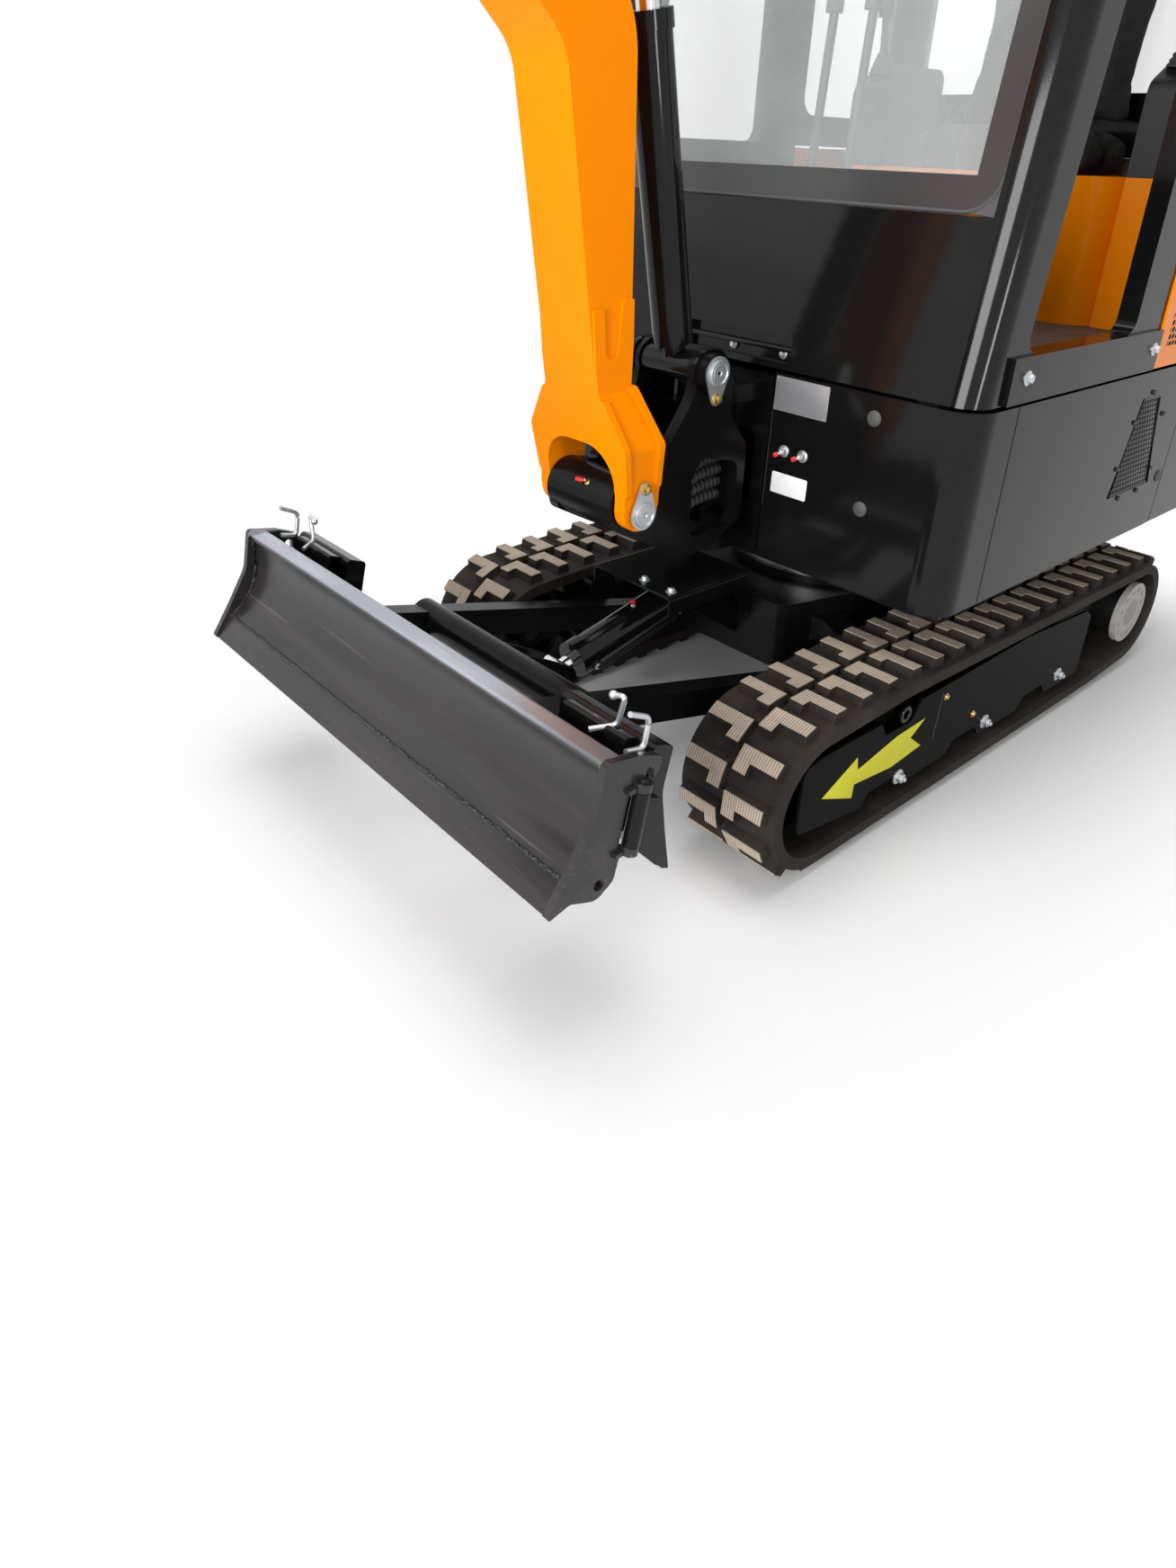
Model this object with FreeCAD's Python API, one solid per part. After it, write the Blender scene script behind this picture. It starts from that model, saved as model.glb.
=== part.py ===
"""Mini excavator of the 1.2 tonne class: rubber tracks, dozer blade with fold-back wings, swing boom and cab.

Frame while modelling: origin on the ground under the slew centre, +X to the machine's left,
+Y to its rear, +Z up, millimetres.  main() then moves everything so that the origin is at the
bottom centre of the whole machine's box.
"""
import FreeCAD, Part
import math
import os

V = FreeCAD.Vector

# ---------------------------------------------------------------- driving dimensions
# undercarriage
TRACK_GAUGE = 740.0          # centre to centre of the two tracks
BELT_WIDTH = 200.0
BELT_THICK = 22.0
BELT_GROOVE = 12.0           # plain strip between the two rows of lugs
LUG_HEIGHT = 20.0
LUG_PITCH = 72.0
LUG_FOOT = 34.0
LUG_FACE = 24.0
LUG_STRIP = 14.0             # plain strip along the belt's outer edges
LUG_TOE = 26.0               # width of the toe at a lug's inner end
IDLER_Y = -595.0
SPROCKET_Y = 605.0
IDLER_BELT_RADIUS = 130.0    # outside of the belt carcass round the idler
SPROCKET_AXLE_Z = 150.0
SPROCKET_BELT_RADIUS = 120.0
SPROCKET_TEETH = 11
CARRIER_Y = -381.0
CARRIER_TOP = 290.0          # top of the belt carcass over the carrier roller
CARRIER_RADIUS = 30.0
ROLLER_RADIUS = 38.0
ROLLER_YS = (-402.0, -123.0, 156.0, 430.0)
FRAME_BOTTOM = 125.0
FRAME_TOP = 198.0
FRAME_HALF = 50.0            # half width of a track frame's beam
COVER_BOTTOM = 66.0
COVER_NOTCH = 92.0           # top of the cut-outs over the rollers
COVER_OUT = 84.0             # track centre to the inside of the cover plate
COVER_THICK = 6.0
CENTRE_BOTTOM = 170.0        # car body
SLEW_RING_BOTTOM = 318.0
SLEW_RING_TOP = 352.0
SLEW_RING_RADIUS = 200.0
# blade
ARM_PIVOT = (-330.0, 165.0)  # (y, z) of the blade arm pins
ARM_FRONT = (-1094.0, 352.0)
PUSH_ARM_X = 210.0           # centre of each blade arm
PUSH_ARM_WIDTH = 40.0
PUSH_ARM_DEPTH = 52.0
TORQUE_TUBE = (-905.0, 312.0)
TORQUE_TUBE_RADIUS = 30.0
BLADE_HALF = 495.0
BLADE_PLATE = 8.0
BLADE_END_PLATE = 12.0
BLADE_TIP = (-1200.0, 255.0)
BLADE_WELD = (-1168.0, 290.0)
BLADE_FOLD = (-1118.0, 345.0)
BLADE_TOP = (-1112.0, 436.0)
BLADE_RANGE = (-28.0, 2.0)   # degrees, lowered to raised
BLADE_CYL_BASE = (-470.0, 330.0)
BLADE_CYL_EYE = (-790.0, 250.0)
BLADE_CYL_RADIUS = 33.0
WING_WIDTH = 180.0
WING_HINGE_X = 498.0
WING_START = 20.0            # wing plates begin this far outside the hinge line
WING_AXIS_LOW = (-1078.0, 280.0)
WING_AXIS_HIGH = (-1052.0, 410.0)
# upper structure
HOUSE_HALF = 475.0
HOUSE_FRONT = -355.0
HOUSE_REAR = 830.0
PANEL_BOTTOM = 404.0
DECK_BOTTOM = 398.0
DECK_TOP = 410.0
BODY_TOP = 752.0             # seam between the body panels and the cab
FLOOR_TOP = 800.0
SILL_TOP = 829.0
HOOD_TOP = 1112.0
FRONT_CORNER = 60.0
REAR_CORNER = 90.0
SIDE_SPLIT = -225.0          # joint between front and side panels
TAIL_SPLIT = 500.0           # joint between side panels and counterweight
SHEET = 5.0                  # body panel sheet
SEAM = 3.0                   # gap between neighbouring panels
FIT = 0.2                    # gap where one fixed piece is seated against another
CAB_HALF = 470.0
CAB_FRONT = -353.0           # at the seam
CAB_LEAN = 8.0               # degrees the front leans back
CAB_TOP = 2190.0
CAB_REAR = 700.0
CAB_WALL = 36.0
CAB_CORNER = 45.0
SCREEN_SILL = 1025.0         # lower edge of the windscreen
WINDOW_TOP = 2085.0
DOOR_FRONT = -237.0
DOOR_REAR = 165.0
DOOR_POST_REAR = 281.0
GLASS = 5.0
SEAT_BASE_FRONT = 357.0
SEAT_BASE_HALF = 294.0
SEAT_BASE_TOP = 1080.0
HOOD_HINGE = (716.0, 1106.0)
HOOD_RANGE = (0.0, 75.0)
# swing post and boom
KING_Y = -430.0
KING_PIN_RADIUS = 22.0
HUB_RADIUS = 48.0
HUB_BOTTOM = 457.0
HUB_TOP = 698.0
PASSAGE = (492.0, 634.0)     # open height between the two hubs, where the hoses run
LUG_LOW = 425.0
LUG_HIGH = 700.0
LUG_THICK = 30.0
POST_INNER = 58.0
POST_OUTER = 80.0
SWING_RANGE = (-55.0, 55.0)
FOOT_PIN = (-697.0, 568.0)
FOOT_PIN_RADIUS = 20.0
FOOT_BOSS_RADIUS = 38.0
LEG_INNER = 83.0
LEG_OUTER = 105.0
BOOM_CYL_PIN = (-531.0, 770.0)
BOOM_LUG = (-650.0, 1340.0)
BOOM_CYL_RADIUS = 34.0
BOOM_TIP = (-1310.0, 1715.0)
BOOM_TIP_RADIUS = 45.0
BOOM_HALF = 60.0
BOOM_RANGE = (-90.0, 6.0)
ARM_CYL_LUG = (-800.0, 1425.0)
ARM_CYL_RADIUS = 33.0
# arm: measured along and across the line from the boom tip pin to the bucket pin
ARM_LENGTH = 850.0
ARM_DROP = 46.0              # degrees below the horizontal as parked
ARM_TAIL = (-173.0, 100.0)
ARM_HALF = 48.0
ARM_PIN_RADIUS = 18.0
ARM_RANGE = (-68.0, 34.0)    # out to in
# bucket and its linkage
ROCKER_BACK = 145.0          # bucket pin to rocker pivot
ROCKER_LENGTH = 190.0
LINK_LENGTH = 165.0
EAR_LENGTH = 95.0
EAR_TO_TOOTH = 115.0         # degrees from the link ear to the tooth line
BUCKET_CYL_LUG = (250.0, 120.0)
BUCKET_CYL_RADIUS = 28.0
EAR_ANGLE = 45.0             # direction of the link ear as parked, from the arm line
BUCKET_RANGE = (-80.0, 80.0)  # dumped to curled
BUCKET_HALF = 190.0
BUCKET_PLATE = 8.0
TOOTH_RADIUS = 500.0
TOOTH_INSET = 40.0           # bucket side to the middle of the outer tooth
TOOTH_HALF = 22.0
# pins and fits
PIN_FIT = 0.05               # radial running fit
SIDE_GAP = 1.0               # each side of an eye in its fork
EYE_WIDTH = 44.0
EYE_RADIUS = 26.0
EYE_PIN = 15.0
FORK_PLATE = 12.0
GLAND_LENGTH = 26.0
ROD_OVERLAP = 40.0           # rod still inside the barrel at full stroke
STEPS = 40                   # samples over a joint's range when its cylinder is fitted


# ---------------------------------------------------------------- helpers
def yz(a, b, x=0.0):
    return V(x, a, b)


def xz(a, b, y=0.0):
    return V(a, y, b)


def xy(a, b, z=0.0):
    return V(a, b, z)


def outline(points, place):
    """Closed wire through (a, b) or (a, b, radius) corners, laid out by place."""
    count = len(points)
    corners = [place(p[0], p[1]) for p in points]
    radii = [p[2] if len(p) > 2 else 0.0 for p in points]
    starts, ends, mids = [], [], []
    for i in range(count):
        here, before, after = corners[i], corners[i - 1], corners[(i + 1) % count]
        if radii[i] <= 0:
            starts.append(here)
            ends.append(here)
            mids.append(None)
            continue
        back = (before - here).normalize()
        ahead = (after - here).normalize()
        half = back.getAngle(ahead) / 2
        reach = radii[i] / math.tan(half)
        centre = here + (back + ahead).normalize() * (radii[i] / math.sin(half))
        starts.append(here + back * reach)
        ends.append(here + ahead * reach)
        mids.append(centre + (here - centre).normalize() * radii[i])
    edges = []
    for i in range(count):
        if mids[i] is not None:
            edges.append(Part.Arc(starts[i], mids[i], ends[i]).toShape())
        following = starts[(i + 1) % count]
        if (following - ends[i]).Length > 1e-6:
            edges.append(Part.makeLine(ends[i], following))
    return Part.Wire(edges)


def raise_wire(wire, axis, low, high):
    wire.translate(axis * low)
    return Part.Face(wire).extrude(axis * (high - low))


def slab(points, place, low, high):
    """Outline drawn in one plane and given thickness from low to high along the third axis."""
    axis = place(0, 0, 1.0)
    low, high = sorted((low, high))
    return raise_wire(outline(points, place), axis, low, high)


def box(x0, x1, y0, y1, z0, z1):
    x0, x1 = sorted((x0, x1))
    return Part.makeBox(x1 - x0, y1 - y0, z1 - z0, V(x0, y0, z0))


def rod(start, end, radius):
    along = end - start
    return Part.makeCylinder(radius, along.Length, start, along)


def pin_x(point, x0, x1, radius):
    """Round bar along X at a (y, z) point."""
    x0, x1 = sorted((x0, x1))
    return Part.makeCylinder(radius, x1 - x0, V(x0, point[0], point[1]), V(1, 0, 0))


def post_z(x, y, z0, z1, radius):
    return Part.makeCylinder(radius, z1 - z0, V(x, y, z0))


def join(shapes):
    first, rest = shapes[0], shapes[1:]
    return first.multiFuse(rest).removeSplitter() if rest else first


def cut(shape, tools):
    return shape.cut(tools).removeSplitter()


def mirrored(shape):
    return shape.mirror(V(0, 0, 0), V(1, 0, 0))


def both_sides(shape):
    """A shape and its mirror image across the machine's centre plane."""
    return [shape, mirrored(shape)]


def turned(point, pivot, degrees):
    """A (y, z) point turned about a pivot; positive turns +Y towards +Z."""
    a = math.radians(degrees)
    dy, dz = point[0] - pivot[0], point[1] - pivot[1]
    return (pivot[0] + dy * math.cos(a) - dz * math.sin(a), pivot[1] + dy * math.sin(a) + dz * math.cos(a))


def distance(p, q):
    return math.hypot(q[0] - p[0], q[1] - p[1])


def heading(p, q):
    return math.degrees(math.atan2(q[1] - p[1], q[0] - p[0]))


def part_turn(angle):
    """The same turn, brought between -180 and 180 degrees."""
    return (angle + 180.0) % 360.0 - 180.0


def through_rest(inputs, outputs):
    """Slope of the straight line through rest that follows the outputs most closely."""
    return sum(x * y for x, y in zip(inputs, outputs)) / sum(x * x for x in inputs)


def furthest_off(inputs, lengths, turns, slide, turn):
    """Greatest distance of the rod's eye from its pin when slide and turn follow at fixed ratios."""
    worst = 0.0
    for value, length, angle in zip(inputs, lengths, turns):
        reached = lengths[0] + slide * value
        swing = math.radians(angle - turn * value)
        worst = max(worst, math.sqrt(reached ** 2 + length ** 2 - 2 * reached * length * math.cos(swing)))
    return worst


def closest_ratios(inputs, lengths, turns):
    """Slide and turn per degree that keep the rod's eye nearest to its pin over the whole travel."""
    best = [through_rest(inputs, [length - lengths[0] for length in lengths]), through_rest(inputs, turns)]
    step = [0.5, 0.05]
    error = furthest_off(inputs, lengths, turns, *best)
    while step[0] > 0.001:
        better = False
        for ds, dt in ((1, 0), (-1, 0), (0, 1), (0, -1), (1, 1), (1, -1), (-1, 1), (-1, -1)):
            tried = [best[0] + ds * step[0], best[1] + dt * step[1]]
            off = furthest_off(inputs, lengths, turns, *tried)
            if off < error:
                best, error, better = tried, off, True
        if not better:
            step = [step[0] / 2, step[1] / 2]
    return best


def sweep(limits):
    """Rest, then evenly spaced values over a joint's whole range."""
    low, high = limits
    return [0.0] + [low + (high - low) * i / STEPS for i in range(STEPS + 1)]


# ---------------------------------------------------------------- linkages
def cylinder_motion(base, eye, pivot, limits, sense):
    """How a cylinder from base to an eye that swings about pivot has to slide and turn.

    sense is +1 where a positive joint angle turns +Y towards +Z, else -1.  Gives the slide and the
    turn per degree of the joint, then the shortest and the longest length they reach.
    """
    angles = sweep(limits)
    eyes = [turned(eye, pivot, sense * angle) for angle in angles]
    lengths = [distance(base, moved) for moved in eyes]
    turns = [part_turn(heading(base, moved) - heading(base, eye)) for moved in eyes]
    slide, turn = closest_ratios(angles, lengths, turns)
    reach = [lengths[0] + slide * limit for limit in limits]
    return slide, turn, min(reach), max(reach)


def on_arm(along, across):
    """(y, z) of a point given along and across the arm from the boom tip pin."""
    a = math.radians(ARM_DROP)
    uy, uz = -math.cos(a), -math.sin(a)
    vy, vz = -math.sin(a), math.cos(a)
    return (BOOM_TIP[0] + uy * along + vy * across, BOOM_TIP[1] + uz * along + vz * across)


def bucket_linkage(ear_angle):
    """Rocker end and link ear pin, along and across the arm, for an ear direction in degrees."""
    ear = math.radians(ear_angle)
    ear_pin = (ARM_LENGTH + EAR_LENGTH * math.cos(ear), EAR_LENGTH * math.sin(ear))
    pivot = (ARM_LENGTH - ROCKER_BACK, 0.0)
    span = distance(pivot, ear_pin)
    base = math.atan2(ear_pin[1] - pivot[1], ear_pin[0] - pivot[0])
    opening = math.acos((ROCKER_LENGTH ** 2 + span ** 2 - LINK_LENGTH ** 2) / (2 * ROCKER_LENGTH * span))
    lift = base + opening
    return (pivot[0] + ROCKER_LENGTH * math.cos(lift), pivot[1] + ROCKER_LENGTH * math.sin(lift)), ear_pin


def bucket_motion():
    """Turns of rocker, link and cylinder and slide of the cylinder per degree of bucket curl.

    Turns are positive from +Y towards +Z, as is the curl.
    """
    pivot = (ARM_LENGTH - ROCKER_BACK, 0.0)
    rest_end, rest_ear = bucket_linkage(EAR_ANGLE)
    curls = sweep(BUCKET_RANGE)
    rows = []
    for curl in curls:
        end, ear = bucket_linkage(EAR_ANGLE - curl)
        rocker = part_turn(heading(pivot, rest_end) - heading(pivot, end))
        link = part_turn(heading(rest_end, rest_ear) - heading(end, ear))
        barrel = part_turn(heading(BUCKET_CYL_LUG, rest_end) - heading(BUCKET_CYL_LUG, end))
        slide = distance(BUCKET_CYL_LUG, end) - distance(BUCKET_CYL_LUG, rest_end)
        rows.append((rocker, link, barrel, slide))
    rocker, link, barrel, slide = [through_rest(curls, column) for column in zip(*rows)]
    reach = [distance(BUCKET_CYL_LUG, rest_end) + slide * limit for limit in BUCKET_RANGE]
    return rocker, link, barrel, slide, min(reach), max(reach)


def blade_cyl_motion():
    return cylinder_motion(BLADE_CYL_BASE, BLADE_CYL_EYE, ARM_PIVOT, BLADE_RANGE, -1)


def boom_cyl_motion():
    return cylinder_motion(BOOM_CYL_PIN, BOOM_LUG, FOOT_PIN, BOOM_RANGE, -1)


def arm_cyl_motion():
    return cylinder_motion(ARM_CYL_LUG, on_arm(*ARM_TAIL), BOOM_TIP, ARM_RANGE, 1)


# ---------------------------------------------------------------- hydraulic cylinders
NECK = 40.0                  # eye centre to where the full barrel begins
EYE_STOP = 14.0              # gland to rod eye when fully closed


def cylinder_pair(base, eye, reach, barrel_radius, rod_radius, base_width=EYE_WIDTH, eye_width=EYE_WIDTH):
    """Barrel and rod between two (y, z) points; the base eye is bored for the pin it turns on."""
    shortest, longest = reach
    start, end = yz(*base), yz(*eye)
    along = (end - start).normalize()
    rest = (end - start).Length
    gland_end = shortest - EYE_RADIUS - EYE_STOP
    rod_length = longest - gland_end + ROD_OVERLAP
    base_eye = pin_x(base, -base_width / 2, base_width / 2, EYE_RADIUS)
    neck = rod(start, start + along * NECK, barrel_radius * 0.62)
    tube = rod(start + along * (NECK - 4), start + along * (gland_end - GLAND_LENGTH), barrel_radius)
    gland = rod(start + along * (gland_end - GLAND_LENGTH), start + along * gland_end, barrel_radius + 3)
    barrel = join([base_eye, neck, tube, gland])
    back = start + along * (shortest - rod_length - 4)
    bore = rod(back, start + along * (gland_end + 1), rod_radius + PIN_FIT)
    pin = pin_x(base, -base_width, base_width, EYE_PIN + PIN_FIT)
    barrel = cut(barrel, [bore, pin])
    bar = rod(start + along * (rest - rod_length), end, rod_radius)
    rod_eye = pin_x(eye, -eye_width / 2, eye_width / 2, EYE_RADIUS)
    return barrel, join([bar, rod_eye])


def fork(pin, roots, inner, radius=EYE_RADIUS, plate=FORK_PLATE):
    """A pair of fork ears round a (y, z) pin point, widening to two root points."""
    first, second = roots
    tips = [outer_touch(pin, first, second, radius), outer_touch(pin, second, first, radius)]
    ear = slab([first, tips[0], tips[1], second], yz, inner, inner + plate)
    ear = join([ear, pin_x(pin, inner, inner + plate, radius)])
    return both_sides(ear)


def outer_touch(pin, root, other, radius):
    """Where the line from a root point touches the round end, on the side away from the other root."""
    base = math.atan2(root[1] - pin[1], root[0] - pin[0])
    spread = math.acos(radius / distance(pin, root))
    ends = []
    for angle in (base - spread, base + spread):
        ends.append((pin[0] + radius * math.cos(angle), pin[1] + radius * math.sin(angle)))
    return max(ends, key=lambda end: distance(end, other))


def pin_heads(pin, outside, radius=17.0, thick=8.0):
    """Pin heads standing on the outside faces of a fork."""
    return both_sides(pin_x(pin, outside - 0.5, outside + thick, radius))


def fork_outside(width=EYE_WIDTH):
    return width / 2 + SIDE_GAP + FORK_PLATE


# ---------------------------------------------------------------- undercarriage
IDLER_AXLE_Z = LUG_HEIGHT + IDLER_BELT_RADIUS
ROLLER_Z = LUG_HEIGHT + BELT_THICK + ROLLER_RADIUS
CARRIER_Z = CARRIER_TOP - BELT_THICK - CARRIER_RADIUS
TRACK_X = TRACK_GAUGE / 2
TRACK_INNER = TRACK_X - BELT_WIDTH / 2
TRACK_OUTER = TRACK_X + BELT_WIDTH / 2
AXLE_RADIUS = 11.0
IDLER_AXLE = 17.0
MOTOR_RADIUS = 62.0
ROLLER_HALF = 45.0


def track_circles(inset):
    """Circles the belt runs round, shrunk by inset from the outside of its carcass."""
    return [(IDLER_Y, IDLER_AXLE_Z, IDLER_BELT_RADIUS - inset),
            (ROLLER_YS[-1], ROLLER_Z, ROLLER_RADIUS + BELT_THICK - inset),
            (SPROCKET_Y, SPROCKET_AXLE_Z, SPROCKET_BELT_RADIUS - inset),
            (CARRIER_Y, CARRIER_Z, CARRIER_RADIUS + BELT_THICK - inset)]


def belt_wire(inset):
    """Closed wire round the chain of circles, anticlockwise seen from +X."""
    circles = track_circles(inset)
    count = len(circles)
    legs = []
    for i in range(count):
        y0, z0, r0 = circles[i]
        y1, z1, r1 = circles[(i + 1) % count]
        gap = math.hypot(y1 - y0, z1 - z0)
        side = math.atan2(z1 - z0, y1 - y0) - math.pi / 2 + math.asin((r0 - r1) / gap)
        legs.append((side, (y0 + r0 * math.cos(side), z0 + r0 * math.sin(side)),
                     (y1 + r1 * math.cos(side), z1 + r1 * math.sin(side))))
    edges = []
    for i in range(count):
        side, start, end = legs[i]
        arrive = legs[i - 1]
        y0, z0, r0 = circles[i]
        middle = arrive[0] + ((side - arrive[0]) % (2 * math.pi)) / 2
        crown = yz(y0 + r0 * math.cos(middle), z0 + r0 * math.sin(middle))
        edges.append(Part.Arc(yz(*arrive[2]), crown, yz(*start)).toShape())
        edges.append(Part.makeLine(yz(*start), yz(*end)))
    return Part.Wire(edges)


def belt_direction(stations, index):
    """Direction of travel along the belt at one of its stations."""
    total = len(stations) - 1
    return (stations[(index + 1) % total] - stations[(index - 1) % total]).normalize()


def lug_row(stations, phase, toe):
    """Outline of the belt with one row of lugs standing out of it, drawn out by toe stations ahead."""
    total = len(stations) - 1
    points = []
    for here in range(phase, total + phase, 4):
        ends = []
        for index in (here, here + toe):
            along = belt_direction(stations, index)
            ends.append((stations[index % total], along, V(0, along.z, -along.y) * LUG_HEIGHT))
        (back, along, out), (front, ahead, lift) = ends
        points.append(back - along * (LUG_FOOT / 2))
        points.append(back - along * (LUG_FACE / 2) + out)
        points.append(front + ahead * (LUG_FACE / 2) + lift)
        points.append(front + ahead * (LUG_FOOT / 2))
        points.append(stations[(here + 2) % total])
    return Part.makePolygon(points + points[:1])


def track():
    """Rubber track: a belt with two staggered rows of lugs, each lug a bar with a toe at its inner end."""
    path = belt_wire(0)
    count = round(path.Length / LUG_PITCH)
    stations = path.discretize(Number=4 * count + 1)
    x = V(1, 0, 0)
    rows = [raise_wire(belt_wire(0), x, TRACK_X - BELT_GROOVE / 2, TRACK_X + BELT_GROOVE / 2)]
    for side, phase in ((-1, 0), (1, 2)):
        edge = TRACK_X + side * BELT_WIDTH / 2
        strip = edge - side * LUG_STRIP
        groove = TRACK_X + side * BELT_GROOVE / 2
        toe = groove + side * LUG_TOE
        for wire, ends in ((belt_wire(0), (strip, edge)), (lug_row(stations, phase, 0), (toe, strip)),
                           (lug_row(stations, phase, 1), (groove, toe))):
            rows.append(raise_wire(wire, x, min(ends), max(ends)))
    hole = raise_wire(belt_wire(BELT_THICK), x, TRACK_INNER - 1, TRACK_OUTER + 1)
    return join([row.cut(hole) for row in rows])


def idler():
    """Front idler wheel, dished on both sides, on its axle."""
    rim = IDLER_BELT_RADIUS - BELT_THICK - FIT
    centre = (IDLER_Y, IDLER_AXLE_Z)
    wheel = pin_x(centre, TRACK_X - 35, TRACK_X + 35, rim)
    dishes = []
    for side in (-1, 1):
        dish = pin_x(centre, TRACK_X + side * 12, TRACK_X + side * 36, rim - 15)
        dishes.append(dish.cut(pin_x(centre, TRACK_X + side * 11, TRACK_X + side * 37, 34)))
    return join([wheel.cut(dishes), pin_x(centre, TRACK_X - 62, TRACK_X + 62, IDLER_AXLE)])


def roller(y, z, radius):
    """Flanged track roller on its axle."""
    drum = pin_x((y, z), TRACK_X - ROLLER_HALF, TRACK_X + ROLLER_HALF, radius - FIT)
    groove = pin_x((y, z), TRACK_X - 14, TRACK_X + 14, radius + 1)
    groove = groove.cut(pin_x((y, z), TRACK_X - 15, TRACK_X + 15, radius - 9))
    return join([drum.cut(groove), pin_x((y, z), TRACK_X - 60, TRACK_X + 60, AXLE_RADIUS)])


def rollers():
    solids = [roller(y, ROLLER_Z, ROLLER_RADIUS) for y in ROLLER_YS]
    solids.append(roller(CARRIER_Y, CARRIER_Z, CARRIER_RADIUS))
    return Part.makeCompound(solids)


def drive():
    """Track motor with its toothed sprocket and drilled end disc."""
    centre = (SPROCKET_Y, SPROCKET_AXLE_Z)
    tooth_radius = SPROCKET_BELT_RADIUS - BELT_THICK - FIT
    gaps = []
    for i in range(SPROCKET_TEETH):
        angle = 2 * math.pi * i / SPROCKET_TEETH
        at = (centre[0] + tooth_radius * math.cos(angle), centre[1] + tooth_radius * math.sin(angle))
        gaps.append(pin_x(at, TRACK_X - 16, TRACK_X + 16, 12))
    sprocket = pin_x(centre, TRACK_X - 15, TRACK_X + 15, tooth_radius).cut(gaps)
    motor = pin_x(centre, TRACK_X - 98, TRACK_X + 80, MOTOR_RADIUS)
    disc = pin_x(centre, TRACK_X + 78, TRACK_X + 92, 73)
    holes = []
    for i in range(12):
        angle = 2 * math.pi * (i + 0.5) / 12
        at = (centre[0] + 56 * math.cos(angle), centre[1] + 56 * math.sin(angle))
        holes.append(pin_x(at, TRACK_X + 86, TRACK_X + 93, 6))
    return join([sprocket, motor, disc.cut(holes)])


def roller_bracket(y, z, foot_z, x0, x1):
    """Plate that carries one end of a roller axle, hanging from or standing on the beam."""
    step = 1 if foot_z > z else -1
    points = [(y - 34, foot_z), (y + 34, foot_z), (y + 20, z - step * 18, 10), (y - 20, z - step * 18, 10)]
    return slab(points, yz, x0, x1).cut(pin_x((y, z), x0 - 1, x1 + 1, AXLE_RADIUS + PIN_FIT))


def cover_plate():
    """Outer cover of the track frame with a cut-out over each roller."""
    bottom, notch = COVER_BOTTOM, COVER_NOTCH
    points = [(IDLER_Y - 3, 230, 20), (IDLER_Y - 55, 222, 22), (IDLER_Y - 53, bottom + 28, 20)]
    for y in ROLLER_YS[:3]:
        points += [(y - 62, bottom, 8), (y - 40, notch, 12), (y + 40, notch, 12), (y + 62, bottom, 8)]
    points += [(372, bottom, 10), (370, 208, 12), (340, 226, 20), (71, 244, 200), (CARRIER_Y + 66, 236, 8)]
    points += [(CARRIER_Y + 40, 200, 14), (CARRIER_Y - 40, 200, 14), (CARRIER_Y - 56, 230, 8)]
    return slab(points, yz, TRACK_X + COVER_OUT, TRACK_X + COVER_OUT + COVER_THICK)


def track_frame():
    """Welded side beam, roller brackets, idler fork, motor plate and outer cover."""
    beam = box(TRACK_X - FRAME_HALF, TRACK_X + FRAME_HALF, -470, 470, FRAME_BOTTOM, FRAME_TOP)
    solids = [beam]
    for side in (-1, 1):
        inner = TRACK_X + side * (ROLLER_HALF + 2)
        outer = TRACK_X + side * (ROLLER_HALF + 14)
        x0, x1 = sorted((inner, outer))
        for y in ROLLER_YS:
            solids.append(roller_bracket(y, ROLLER_Z, FRAME_BOTTOM + 4, x0, x1))
        solids.append(roller_bracket(CARRIER_Y, CARRIER_Z, FRAME_TOP - 4, x0, x1))
        arm = slab([(IDLER_Y - 28, IDLER_AXLE_Z - 26, 14), (-460, IDLER_AXLE_Z - 25),
                    (-460, IDLER_AXLE_Z + 30), (IDLER_Y - 28, IDLER_AXLE_Z + 26, 14)], yz, x0, x1)
        solids.append(arm.cut(pin_x((IDLER_Y, IDLER_AXLE_Z), x0 - 1, x1 + 1, IDLER_AXLE + PIN_FIT)))
    y, z = SPROCKET_Y, SPROCKET_AXLE_Z
    motor_plate = slab([(460, FRAME_BOTTOM), (y + 30, z - 76, 40), (y + 80, z, 40), (y + 30, z + 76, 40),
                        (460, FRAME_TOP)], yz, TRACK_X - FRAME_HALF, TRACK_X - FRAME_HALF + 12)
    centre = (y, z)
    seat = pin_x(centre, TRACK_X - FRAME_HALF - 1, TRACK_X - FRAME_HALF + 13, MOTOR_RADIUS + PIN_FIT)
    solids.append(motor_plate.cut(seat))
    solids.append(cover_plate())
    for y in (-300.0, 0.0, 280.0):
        solids.append(box(TRACK_X + FRAME_HALF - 1, TRACK_X + COVER_OUT + 1, y - 20, y + 20, 130, 190))
    return join(solids)


PIVOT_EAR = PUSH_ARM_WIDTH / 2 + SIDE_GAP
BEAM_END = TRACK_X - FRAME_HALF - FIT
CENTRE_FRONT = -330.0


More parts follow.
